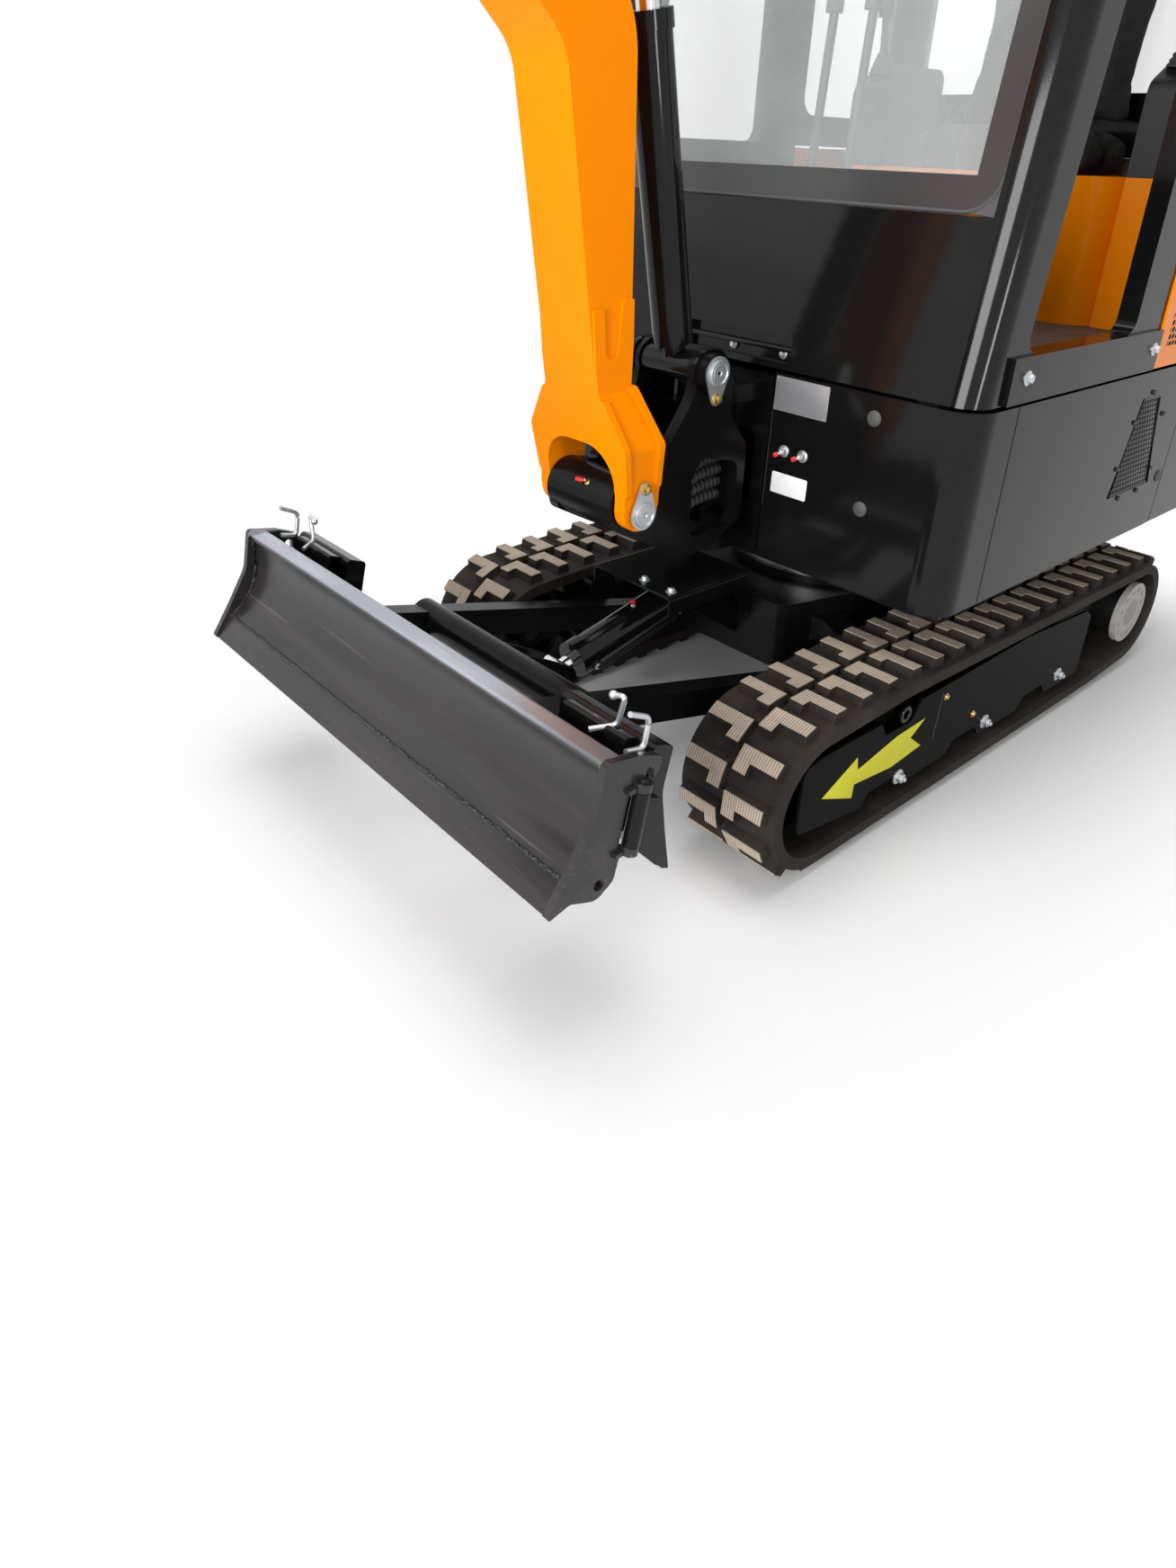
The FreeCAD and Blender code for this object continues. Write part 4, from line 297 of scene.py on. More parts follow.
def blade_paint():
    f = Finish("blade_paint")
    x, _, z = f.axes()
    streaks = f.smooth(f.noise(26.0, 5.0, 0.62, (0.10, 1, 1)), 0.40, 0.80)
    low = f.smooth(z, 0.24, 0.37, 1.0, 0.35)
    # painted highlight: a bright band along the cap's top stands in for the sky's reflection there, broken by
    # the streaks and dimmer towards the machine's left
    cap_highlight = f.smooth(z, BLADE_CAP_Z - 0.012, BLADE_CAP_Z - 0.006) * (HIGHLIGHT_HALF - x.size()).over(0.0)
    cap_highlight = cap_highlight * (streaks * 0.3 + 0.7) * f.smooth(x, 0.46, 0.20, 0.3, 1.0)
    scratch = f.smooth(f.noise(60.0, 2.0, 0.5, (0.04, 1, 2.5)), 0.66, 0.74) * low
    tint = f.blend(streaks * low * 0.6 + 0.15, (0.012, 0.012, 0.014), (0.055, 0.043, 0.040))
    tint = f.blend(scratch * 0.3, tint, (0.22, 0.20, 0.18))
    # painted highlight: the cap's band is tinted bluish white and made metallic, a painted reflection of the
    # sky
    tint = f.blend(cap_highlight, tint, (0.52, 0.56, 0.63))
    rough = streaks * 0.10 + low * 0.08 + 0.18 + cap_highlight * 0.06
    waves = f.noise(14.0, 2.0, 0.5, (0.25, 1, 1))
    return f.done(Base_Color=tint, Metallic=cap_highlight * 0.9, Roughness=rough, Specular_IOR_Level=0.4,
                  Normal=f.bump(waves, 0.002, 0.10))


BLADE = blade_paint()
print("blade paint nodes", len(BLADE.node_tree.nodes))

# %% [markdown]
# ## Track rubber
# A new belt is brown-grey rubber, dry and mottled. The faces of its lugs are paler, with fine ribs left
# by the mould. The lugs are part of one belt, so the pale faces can't be picked out by piece; they can
# be by height over the belt. The belt runs round an idler, a carrier roller and a sprocket, and its
# distance from the line between their axles, less the belt's radius there, is that height.

# %% Track rubber
idler_low, idler_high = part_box("left_idler")
drive_low, drive_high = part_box("left_drive")
IDLER_Y = (idler_low.y + idler_high.y) / 2
DRIVE_Y = (drive_low.y + drive_high.y) / 2
AXLE_Z = (idler_low.z + idler_high.z) / 2
CARRIER_Y = at(0, -381, 0).y
ROLLER_Y = at(0, 430, 0).y
IDLER_RADIUS, CARRIER_TOP, DRIVE_RADIUS = 0.130, 0.140, 0.120
LUG_LOW, LUG_TOP = 0.0178, 0.0190


def lug_height(f, y, z):
    """Height over the belt's outside, in metres."""
    beyond = (y - IDLER_Y).least(0.0) + (y - DRIVE_Y).most(0.0)
    up = z - AXLE_Z
    spread = (beyond * beyond + up * up).root()
    rise = f.straight(y, IDLER_Y, CARRIER_Y, IDLER_RADIUS, CARRIER_TOP)
    top = rise - f.straight(y, CARRIER_Y, DRIVE_Y, 0.0, CARRIER_TOP - DRIVE_RADIUS)
    foot = f.straight(y, ROLLER_Y, DRIVE_Y, IDLER_RADIUS, DRIVE_RADIUS)
    above = up.over(0.0)
    return spread - (above * top + (1.0 - above) * foot)


def rubber():
    f = Finish("track_rubber")
    x, y, z = f.axes()
    height = lug_height(f, y, z)
    face = f.smooth(height, LUG_LOW, LUG_TOP)
    bloom = f.smooth(f.noise(9.0, 5.0, 0.6), 0.35, 0.75)
    ribs = x.wave(0.0052)
    body = f.blend(bloom, (0.019, 0.016, 0.014), (0.046, 0.036, 0.030))
    pale = f.blend(ribs, (0.31, 0.245, 0.190), (0.58, 0.49, 0.40))
    tint = f.blend(face * (bloom * 0.2 + 0.75), body, pale)
    grit = f.noise(320.0, 2.0) * 0.4 + ribs * face
    return f.done(Base_Color=tint, Roughness=bloom * 0.15 + 0.70, Specular_IOR_Level=0.12,
                  Normal=f.bump(grit, 0.0010, 0.45))


RUBBER = rubber()
print("belt: idler", round(IDLER_Y, 4), "drive", round(DRIVE_Y, 4), "axle height", round(AXLE_Z, 4))

# %% [markdown]
# ## Bare metal
# Rods are hard chrome, pins and bolts are zinc, engine iron is cast, and the drive's drilled end disc
# wears a pale primer. Each is metal with fine grain, a little stain, and a roughness that follows them.

# %% Metals
def metal(name, colour, rough, lines=(1, 1, 1), shine=1.0, scale=180.0):
    f = Finish(name)
    grain = f.noise(scale, 3.0, 0.5, lines)
    stain = f.smooth(f.noise(12.0, 4.0), 0.4, 0.8)
    tint = f.blend(stain * 0.35, colour, tuple(c * 0.72 for c in colour))
    return f.done(Base_Color=tint, Metallic=shine, Roughness=grain * 0.14 + rough,
                  Normal=f.bump(grain, 0.0001, 0.10))


DISC_X = drive_high.x - 0.0135
HUB_SQUARED = 0.0011  # the hub's radius squared, in square metres


def drive_finish():
    """Pale primer on the drilled end disc, black paint on the motor and the sprocket behind it."""
    f = Finish("drive_finish")
    x, y, z = f.axes()
    disc = (x.size() - DISC_X).over(0.0)
    hub = (y - DRIVE_Y) * (y - DRIVE_Y) + (z - AXLE_Z) * (z - AXLE_Z)
    mottle = f.noise(60.0, 3.0)
    pale = f.blend(mottle, (0.30, 0.28, 0.26), (0.44, 0.42, 0.39))
    pale = f.blend((HUB_SQUARED - hub).over(0.0) * 0.5, pale, (0.16, 0.15, 0.14))
    tint = f.blend(disc, (0.010, 0.010, 0.010), pale)
    return f.done(Base_Color=tint, Roughness=disc * 0.25 + 0.30, Normal=f.bump(mottle, 0.0004, 0.3))


DRIVE = drive_finish()
STEEL = metal("ground_steel", (0.50, 0.49, 0.47), 0.30, (1, 20, 1))
CHROME = metal("hard_chrome", (0.78, 0.78, 0.80), 0.06)
ZINC = metal("zinc_plate", (0.56, 0.59, 0.61), 0.30, (1, 1, 1), 0.85, 900.0)
BRASS = metal("brass", (0.62, 0.44, 0.16), 0.28)
CAST = metal("engine_iron", (0.20, 0.20, 0.21), 0.45)
TOOTH = metal("worn_tooth_steel", (0.30, 0.28, 0.26), 0.38, (1, 8, 1))
print("metals", [m.name for m in (DRIVE, STEEL, CHROME, ZINC, BRASS, CAST, TOOTH)])

# %% [markdown]
# ## Glass, mats, cloth and plastic
# Glass is mostly clear, with its gloss doing the work. The cab mat is ribbed brown rubber, the seat a
# tight black weave with sewn channels, hoses wear a spiral wrap, and small parts are grained plastic.
# Each is a short recipe of its own, on coordinates that belong to the piece.

# %% Glass, mats, cloth and plastic
CLEAR = (0.80, 0.86, 0.86)
MOULDED_BLACK = (0.018, 0.018, 0.019)
BAND = 0.05  # width of the windscreen's printed border, in metres
SEAT_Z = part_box("seat_base")[1].z
PEDESTAL_HALF = 0.2
EVEN_SHIFT = 1000.0  # an even number of rows, so that row numbers stay above zero
GRILLE_WINDOW = ((at(0, 320, 0).y, 0.795), (at(0, 668, 0).y, 1.060))


def window_glass():
    f = Finish("window_glass")
    film = f.smooth(f.noise(3.0, 4.0), 0.4, 0.8)
    return f.done(Base_Color=CLEAR, Roughness=film * 0.05 + 0.03, Alpha=film * 0.05 + 0.16)


def framed_glass():
    """Windscreen glass with an opaque dark band printed round its edge."""
    f = Finish("windscreen_glass")
    x, _, z = f.axes()
    low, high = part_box("windscreen")
    edge = (z - (low.z + BAND + 0.005)).least((high.z - BAND) - z).least((high.x - BAND) - x.size())
    band = f.smooth(edge, 0.001, -0.001)
    film = f.smooth(f.noise(3.0, 4.0), 0.4, 0.8)
    tint = f.blend(band, CLEAR, (0.030, 0.030, 0.031))
    return f.done(Base_Color=tint, Roughness=band * 0.25 + film * 0.05 + 0.03,
                  Alpha=(film * 0.05 + 0.16).most(band))


def floor_mat():
    f = Finish("ribbed_floor_mat")
    x, _, _ = f.axes()
    ribs = x.wave(0.012)
    wear = f.smooth(f.noise(7.0, 4.0), 0.35, 0.75)
    tint = f.blend(wear, (0.085, 0.062, 0.045), (0.15, 0.115, 0.088))
    return f.done(Base_Color=tint, Roughness=wear * 0.1 + 0.62, Normal=f.bump(ribs, 0.0012, 0.8))


def cloth():
    f = Finish("seat_cloth")
    x, y, z = f.axes()
    weave = x.wave(0.0022) * (y + z).wave(0.0022)
    channel = f.smooth(x.wave(0.070), 0.0, 0.06)
    tint = f.blend(weave, (0.012, 0.012, 0.013), (0.034, 0.034, 0.037))
    tint = f.blend(channel, (0.006, 0.006, 0.006), tint)
    return f.done(Base_Color=tint, Roughness=0.9, Normal=f.bump(weave * 0.12 + channel, 0.004, 0.8))


def plastic(name, colour, rough):
    f = Finish(name)
    grain = f.noise(600.0, 2.0)
    tint = f.blend(grain * 0.4, colour, tuple(c * 0.7 for c in colour))
    return f.done(Base_Color=tint, Roughness=grain * 0.15 + rough, Normal=f.bump(grain, 0.0003, 0.3))


def console():
    """Moulded black above the seat's base, the base's orange below it; the pedestal is black throughout."""
    f = Finish("console_finish")
    x, _, z = f.axes()
    grain = f.noise(600.0, 2.0)
    orange = (x.size() - PEDESTAL_HALF).over(0.0) * (SEAT_Z - z).over(0.0)
    black = f.blend(grain * 0.4, MOULDED_BLACK, (0.012, 0.012, 0.013))
    tint = f.blend(orange, black, ORANGE_COLOUR)
    return f.done(Base_Color=tint, Roughness=grain * 0.1 + 0.40 - orange * 0.2,
                  Normal=f.bump(grain, 0.0002, 0.2))


def hose_wrap():
    f = Finish("spiral_hose_wrap")
    x, y, _ = f.axes()
    turns = (y + x * 0.2).wave(0.0115)
    edge = f.smooth(turns, 0.15, 0.40)
    tint = f.blend(edge, (0.005, 0.005, 0.005), (0.085, 0.080, 0.074))
    return f.done(Base_Color=tint, Roughness=edge * -0.1 + 0.50, Normal=f.bump(edge, 0.0010, 0.8))


def holes(f, across, up, pitch, radius):
    """Mask of a staggered hole pattern: 1 in a hole. Rows lie 0.866 of a pitch apart."""
    step = pitch * 0.866
    row = (up / step).floor()
    shift = (row + EVEN_SHIFT) % 2.0 * (pitch / 2)
    wrapped = f.node("ShaderNodeMath", {"operation": "WRAP"}, {0: across + shift, 1: pitch / 2, 2: -pitch / 2})
    dx = wrapped["Value"]
    dz = up - (row + 0.5) * step
    return f.smooth((dx * dx + dz * dz).root(), radius * 1.1, radius * 0.9)


def perforated(name, colour, inside, pitch, radius, window=None):
    """Painted sheet with punched holes, everywhere or only in a (y, z) window in metres; the holes are painted
    shade.
    """
    f = Finish(name)
    _, y, z = f.axes()
    mask = holes(f, y, z, pitch, radius)
    if window:
        (y0, z0), (y1, z1) = window
        mask = mask * y.over(y0) * (y1 - y).over(0.0) * z.over(z0) * (z1 - z).over(0.0)
    # painted shade: each painted hole is filled with the near-black inside colour, standing in for the dark
    # seen through a punched sheet
    tint = f.blend(mask, f.blend(dust_on(f, 0.04), colour, DUST_COLOUR), inside)
    return f.done(Base_Color=tint, Roughness=mask * 0.6 + 0.22, Specular_IOR_Level=0.25,
                  Normal=f.bump(1.0 - mask, 0.002, 0.8))


GLASS = window_glass()
SCREEN = framed_glass()
CONSOLE = console()
MAT = floor_mat()
CLOTH = cloth()
PLASTIC = plastic("moulded_plastic", MOULDED_BLACK, 0.42)
DOME = plastic("grey_rubber", (0.060, 0.060, 0.064), 0.55)
RED = plastic("red_cap_plastic", (0.62, 0.012, 0.012), 0.32)
YELLOW = plastic("yellow_sticker", (0.66, 0.64, 0.0), 0.45)
LABEL = plastic("white_sticker", (0.92, 0.92, 0.94), 0.35)
PLATE = metal("grey_data_plate", (0.36, 0.36, 0.38), 0.34, (6, 1, 1), 0.55)
HOSE = hose_wrap()
# the second colour of each sheet is the painted shade that fills its holes
VENT = perforated("black_vent_mesh", (0.040, 0.040, 0.041), (0.002, 0.002, 0.002), 0.0118, 0.0042)
GRILLE = perforated("orange_grille", ORANGE_COLOUR, (0.004, 0.003, 0.002), 0.0150, 0.0056, GRILLE_WINDOW)
print("finishes", len(bpy.data.materials))

# %% [markdown]
# ## Dressing the frame
# Every carried-over piece gets its finish by name. A table is enough: sides are stripped from the
# name, and each family of pieces shares a finish, as it would on the paint line. Cylinders go by the
# end of their names, because there are four of each part.

# %% Finish for each piece
FINISHES = {
    "arm": ORANGE, "blade": BLADE, "blade_arms": BLACK_SATIN, "blade_edge": BLADE, "boom": ORANGE,
    "bucket": BLACK_SATIN, "bucket_link": ORANGE, "bucket_rocker": ORANGE, "bucket_teeth": TOOTH,
    "cab_floor": MAT, "cab_frame": BLACK_GLOSS, "cab_front_panel": BLACK_GLOSS, "cab_roof": BLACK_GLOSS,
    "car_body": BLACK_SATIN, "controls": CONSOLE, "counterweight": BLACK_GLOSS,
    "cylinder_guard": BLACK_SATIN, "drive": DRIVE, "engine": CAST, "engine_hood": ORANGE,
    "engine_panel": GRILLE, "front_panel": BLACK_GLOSS, "house_frame": BLACK_SATIN, "idler": BLACK_SATIN,
    "post_hoses": HOSE, "quarter_window": GLASS, "rear_window": GLASS, "rollers": BLACK_SATIN,
    "seat": CLOTH, "seat_base": ORANGE, "side_panel": BLACK_GLOSS, "skirt": BLACK_GLOSS,
    "slew_bearing": STEEL, "swing_post": BLACK_SATIN, "track": RUBBER, "track_frame": BLACK_COVER,
    "window": GLASS, "windscreen": SCREEN, "wing": BLACK_GLOSS, "wing_pin": ZINC,
}


def finish_of(name):
    if name.endswith("cylinder_barrel"):
        return BLACK_GLOSS
    if name.endswith("cylinder_rod"):
        return CHROME
    return FINISHES[name.removeprefix("left_").removeprefix("right_")]


for name, piece in nodes.items():
    piece.data.materials.clear()
    piece.data.materials.append(finish_of(name))
print("dressed", len(nodes), "pieces")

# %% [markdown]
# ## A bench for small parts
# Bolts, plates and caps are what make a machine look built. Each is shaped lying at the origin in
# millimetres, then turned so that its own Z points out of the surface and moved to its place. Parts
# that ride together and share a place are gathered into one mesh, because a hundred loose objects
# would be slower to handle and no better to look at.

# %% Gathering parts into a piece
LEFT, FRONT, UP = (1, 0, 0), (0, -1, 0), (0, 0, 1)
SEAM = 0.005  # millimetres; points nearer than this are one point
SHARP_FROM = 32  # degrees


def facing(axis):
    """The turn that points Z along axis."""
    return Vector(axis).to_track_quat("Z", "Y").to_matrix().to_4x4()


def linked(name, mesh):
    """A new object in the scene, at the origin, with the mesh."""
    piece = bpy.data.objects.new(name, mesh)
    bpy.context.scene.collection.objects.link(piece)
    return piece


class Gathering:
    """Small parts on one body, gathered into one mesh with a finish for each."""

    def __init__(self, name, body, slot):
        self.name, self.body, self.slot = name, body, slot
        self.whole = bmesh.new()
        self.finishes = []

    def add(self, part, finish, place=(0, 0, 0), axis=UP, spin=0.0):
        """Close a part's seams, finish it, point its Z along axis, and set it at place."""
        bmesh.ops.remove_doubles(part, verts=part.verts, dist=SEAM)
        bmesh.ops.recalc_face_normals(part, faces=part.faces)
        aim = Matrix.Identity(4) if axis == UP else facing(axis)
        matrix = Matrix.Translation(place) @ aim @ Matrix.Rotation(math.radians(spin), 4, "Z")
        bmesh.ops.transform(part, matrix=matrix, verts=part.verts)
        if finish not in self.finishes:
            self.finishes.append(finish)
        for face in part.faces:
            face.material_index = self.finishes.index(finish)
        scratch = bpy.data.meshes.new("scratch")
        part.to_mesh(scratch)
        part.free()
        self.whole.from_mesh(scratch)
        bpy.data.meshes.remove(scratch)

    def done(self):
        """Bring the millimetres to metres in the frame, and let the piece ride on its body."""
        matrix = Matrix.Translation(SLEW) @ Matrix.Scale(1 / MM, 4)
        bmesh.ops.transform(self.whole, matrix=matrix, verts=self.whole.verts)
        mesh = bpy.data.meshes.new(self.name)
        self.whole.to_mesh(mesh)
        self.whole.free()
        for finish in self.finishes:
            mesh.materials.append(finish)
        mesh.shade_smooth()
        mesh.set_sharp_from_angle(angle=math.radians(SHARP_FROM))
        piece = linked(self.name, mesh)
        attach(piece, self.body)
        print(self.name, "faces", len(mesh.polygons), "finishes", len(mesh.materials))
        return piece


# %% [markdown]
# ## Turned, flat and six-sided parts
# Washers, pins and caps are turned: an outline spun about an axis. Tags and plates are flat outlines
# drawn up by their thickness, with the rim softened so that it catches the light. A bolt is a
# six-sided head with its corners broken, standing on a washer. Bars and beads follow a path.

# %% Turned parts
def scaled(outline, wide, high):
    """An outline of (radius, height) made wider and higher."""
    return [(radius * wide, height * high) for radius, height in outline]


def turned(outline, steps=28):
    """Spin an outline of (radius, height) about Z."""
    part = bmesh.new()
    dots = [part.verts.new((radius, 0.0, height)) for radius, height in outline]
    edges = [part.edges.new(pair) for pair in zip(dots, dots[1:])]
    bmesh.ops.spin(part, geom=dots + edges, cent=(0, 0, 0), axis=(0, 0, 1), angle=2 * math.pi, steps=steps,
                   use_merge=True)
    return part


def drawn_up(part, face, thick, rim):
    """Thicken a flat face and soften the upper rim."""
    made = bmesh.ops.extrude_face_region(part, geom=[face], use_keep_orig=True)["geom"]
    lifted = [v for v in made if isinstance(v, bmesh.types.BMVert)]
    bmesh.ops.translate(part, vec=(0, 0, thick), verts=lifted)
    if rim:
        edges = [e for e in made if isinstance(e, bmesh.types.BMEdge)]
        bmesh.ops.bevel(part, geom=edges, offset=rim, affect="EDGES", segments=2, profile=0.5, material=-1)
    return part


def flat(corners, thick, rim=0.4, rounding=0.0):
    """Plate with the given corners, rounded in plan if asked."""
    part = bmesh.new()
    face = part.faces.new([part.verts.new((x, y, 0.0)) for x, y in corners])
    if rounding:
        bmesh.ops.bevel(part, geom=face.verts[:], offset=rounding, affect="VERTICES", segments=5, profile=0.5,
                        material=-1)
        part.faces.ensure_lookup_table()
        face = part.faces[0]
    return drawn_up(part, face, thick, rim)


def oblong(left, low, right, high):
    """Corners of a rectangle."""
    return [(left, low), (right, low), (right, high), (left, high)]


def hexagon(across, height):
    """Six-sided bolt head with its top corners broken; across is measured over its flats."""
    part = bmesh.new()
    radius = across / 1.732
    bmesh.ops.create_cone(part, cap_ends=True, segments=6, radius1=radius, radius2=radius, depth=height,
                          matrix=Matrix.Translation((0, 0, height / 2)))
    top = [e for e in part.edges if all(v.co.z > height * 0.9 for v in e.verts)]
    bmesh.ops.bevel(part, geom=top, offset=across * 0.09, affect="EDGES", segments=2, profile=0.5, material=-1)
    return part


def teardrop(wide, narrow, reach, thick):
    """Flat tag round a pin, drawn out to a small end that holds its bolt."""
    part = bmesh.new()
    for radius, x in ((wide, 0.0), (narrow, reach)):
        bmesh.ops.create_cone(part, cap_ends=True, segments=40, radius1=radius, radius2=radius, depth=thick,
                              matrix=Matrix.Translation((0, x, thick / 2)))
    bmesh.ops.delete(part, geom=part.faces[:] + part.edges[:], context="EDGES_FACES")
    hull = bmesh.ops.convex_hull(part, input=part.verts)
    inside = {v for v in hull["geom_interior"] + hull["geom_unused"] if isinstance(v, bmesh.types.BMVert)}
    bmesh.ops.delete(part, geom=list(inside), context="VERTS")
    bmesh.ops.dissolve_limit(part, angle_limit=0.02, verts=part.verts, edges=part.edges)
    return part


def followed(points, radius, sides=12):
    """Round bar or bead along a path, by drawing a circle out from point to point."""
    part = bmesh.new()
    path = [Vector(p) for p in points]
    ring = bmesh.ops.create_circle(part, cap_ends=True, segments=sides, radius=radius)["verts"]
    last = Matrix.Identity(4)
    for i, place in enumerate(path):
        before, after = path[max(i - 1, 0)], path[min(i + 1, len(path) - 1)]
        if i:
            edges = list({e for v in ring for e in v.link_edges if all(w in ring for w in e.verts)})
            made = bmesh.ops.extrude_edge_only(part, edges=edges)["geom"]
            ring = [v for v in made if isinstance(v, bmesh.types.BMVert)]
        station = Matrix.Translation(place) @ facing(after - before)
        bmesh.ops.transform(part, matrix=station @ last.inverted(), verts=ring)
        last = station
    bmesh.ops.contextual_create(part, geom=ring)
    return part


WASHER = [(0, 0), (0.92, 0), (0.92, 0.14), (0.86, 0.17), (0, 0.17)]
NIPPLE = [(0, 0), (1.0, 0), (1.0, 0.5), (0.6, 0.75), (0.45, 1.4), (0.62, 1.7), (0.5, 2.1), (0, 2.2)]
NIPPLE_CAP = [(0, 0), (0.85, 0), (0.95, 0.3), (0.85, 1.4), (0.6, 1.7), (0, 1.75)]


def bolt(group, place, axis, across, finish=ZINC, spin=0.0):
    """Washer and bolt head standing on a surface."""
    group.add(turned(scaled(WASHER, across, across)), finish, place, axis)
    lift = Vector(place) + Vector(axis).normalized() * across * 0.15
    group.add(hexagon(across, across * 0.6), finish, lift, axis, spin)


def nipple(group, place, axis, size, cap=None):
    """Grease nipple with its collar, and a plastic cap over its tip where it has one."""
    group.add(turned(scaled(NIPPLE, size, size), 18), ZINC if cap else BRASS, place, axis)
    if cap:
        tip = Vector(place) + Vector(axis).normalized() * size * 1.3
        group.add(turned(scaled(NIPPLE_CAP, size, size), 18), cap, tip, axis)


# %% [markdown]
# ## Pins and their retainers
# The boom turns on two large pins, and each is kept from walking out by a zinc tag: a flat teardrop
# over the pin's end, held at its small end by one brass bolt. The foot pin's tags are bolted to the
# boom's legs, the cylinder pin's to the swing post, so they ride on different bodies. The pin's face is
# turned with a shallow centre, which is what a lathe leaves. The post also carries the collars on the
# cylinder's pin, and a grease nipple and a red cap on the tube between the boom's legs.

# %% Pin retainers
PIN_FACE = [(0, 2.2), (0.14, 2.2), (0.24, 3.6), (0.66, 3.6), (0.70, 2.8), (0.80, 2.8), (0.84, 4.6),
            (0.95, 4.6), (1.0, 3.8), (1.0, 0.0), (0, 0.0)]
RED_CAP = [(0, 0), (4.4, 0), (4.8, 3), (4.2, 12), (3.0, 14), (0, 14)]
FOOT_PIN, FOOT_SIDE = (-698, 562), 111.2
POST_PIN, POST_SIDE = (-531, 770), 98.2
PIN_RADIUS = 26.5


def retainer(group, side, pin, surface, wide, reach):
    """Teardrop tag over a pin's end with its turned face and its bolt; reach below zero points down."""
    axis = (side, 0, 0)
    y, z = pin
    tag = teardrop(wide, wide * 0.42, reach, 4.0)
    group.add(tag, ZINC, (side * surface, y, z), axis)
    group.add(turned(scaled(PIN_FACE, wide * 0.80, 1), 36), ZINC, (side * (surface + 3.6), y, z), axis)
    bolt(group, (side * (surface + 4.0), y, z + reach), axis, 11.0, BRASS, 12.0)


tags = Gathering("boom_foot_tags", "boom", "steel")
for side in (1, -1):
    retainer(tags, side, FOOT_PIN, FOOT_SIDE, 26.5, 43.0)
tags.done()

tags = Gathering("post_pin_tags", "swing_post", "steel")
for side in (1, -1):
    retainer(tags, side, POST_PIN, POST_SIDE, 27.0, -43.0)
tube_lift = Vector((0, -0.78, 0.62))
nipple(tags, Vector((14, -697, 568)) + tube_lift * 46.5, tube_lift, 5.0)
tags.add(turned(RED_CAP, 18), RED, Vector((6, -697, 568)) + tube_lift * 51, (-0.75, -0.55, 0.15))
for side in (1, -1):
    for x, wide, deep in ((80, 35.0, 9.0), (67, 30.0, 4.0)):
        collar = [(PIN_RADIUS, 0), (wide, 0), (wide, deep - 1.5), (wide - 1.5, deep), (PIN_RADIUS, deep),
                  (PIN_RADIUS, 0)]
        tags.add(turned(collar, 40), BLACK_GLOSS, (side * x, *POST_PIN), (-side, 0, 0))
tags.done()

# %% [markdown]
# ## The house front
# On the flat panel beside the swing post sit a blank data plate, a blank white sticker, two grease
# points with red caps, and two rubber domes that plug access holes. Above them a slot in the cab's
# front shows two bolts behind its guard bar.

# %% House front
FACE_Y = -355.2
RIVET = [(0, 0), (1.6, 0), (1.5, 0.8), (0, 1.2)]
GREASE_SEAT = [(0, 0), (11, 0), (11, 1.6), (8.5, 2.6), (0, 2.6)]
RUBBER_DOME = [(0, 0), (13.5, 0), (13.5, 1.2), (11.5, 3.4), (8, 4.8), (0, 5.6)]
front = Gathering("house_front_fittings", "house", "grey")
front.add(flat(oblong(86, 685, 202, 745), 0.9, 0.3, 2.0), PLATE, (0, FACE_Y, 0), FRONT)
front.add(flat(oblong(100, 535, 180, 574), 0.5, 0.1, 3.0), LABEL, (0, FACE_Y, 0), FRONT)
for x in (90, 198):
    for z in (689, 741):
        front.add(turned(RIVET, 12), ZINC, (x, FACE_Y - 0.8, z), FRONT)
for x, lean in ((121, -0.45), (163, -0.8)):
    front.add(turned(GREASE_SEAT), ZINC, (x, FACE_Y, 615), FRONT)
    front.add(hexagon(13, 7), ZINC, (x, FACE_Y - 2.4, 615), FRONT)
    nipple(front, (x, FACE_Y - 8.5, 614), (lean, -0.75, -0.35), 5.2, RED)
for z in (711, 554):
    front.add(turned(RUBBER_DOME), DOME, (296, FACE_Y, z), FRONT)
for x in (-36, 81):
    bolt(front, (x, FACE_Y + 17, 779), FRONT, 9.0)
front.done()

# %% [markdown]
# ## The sides of the house
# The side panel has a vent of punched sheet, held by small black screws, with a rubber plug behind it.
# The skirt under the cab's doorway is held by one zinc bolt at each end. Both sides have these bolts;
# the vent and its plug are on the left side only.

# %% House sides
VENT_X, RIM_X, PANEL_X, SKIRT_X = 473.3, 475.4, 475.0, 478.2
VENT_CORNERS = [(289, 693), (361, 691), (420, 513), (244, 512)]
VENT_RIM = [(286, 697), (364, 695), (425, 508), (238, 507), (286, 697)]
VENT_SCREWS = [(324, 707), (268, 655), (404, 655), (243, 566), (419, 540), (376, 499), (290, 498)]
SIDE_PLUG = [(0, 0), (13, 0), (13, 1.2), (11, 3.2), (0, 4.6)]
sides = Gathering("house_side_fittings", "house", "gloss_black")
sides.add(flat(VENT_CORNERS, 1.0, 0.2, 5.0), VENT, (VENT_X, 0, 0), LEFT)
sides.add(followed([(RIM_X, y, z) for y, z in VENT_RIM], 1.6, 8), BLACK_GLOSS)
for y, z in VENT_SCREWS:
    sides.add(hexagon(8.5, 4.5), PLASTIC, (PANEL_X, y, z), LEFT)
sides.add(turned(SIDE_PLUG), DOME, (PANEL_X, 478, 512), LEFT)
for side in (1, -1):
    for y in (-230, 254):
        bolt(sides, (side * SKIRT_X, y, 796), (side, 0, 0), 13.0, spin=8.0)
sides.done()

# %% [markdown]
# ## Running gear fittings
# The track cover carries zinc bolts with the end of their threads standing out, two brass grease plugs,
# a lifting eye, the seam of a fold, and a large yellow arrow that points to the machine's front. Both
# sides are fitted out alike, mirrored. Two more bolts hold the guard over the blade's cylinder.

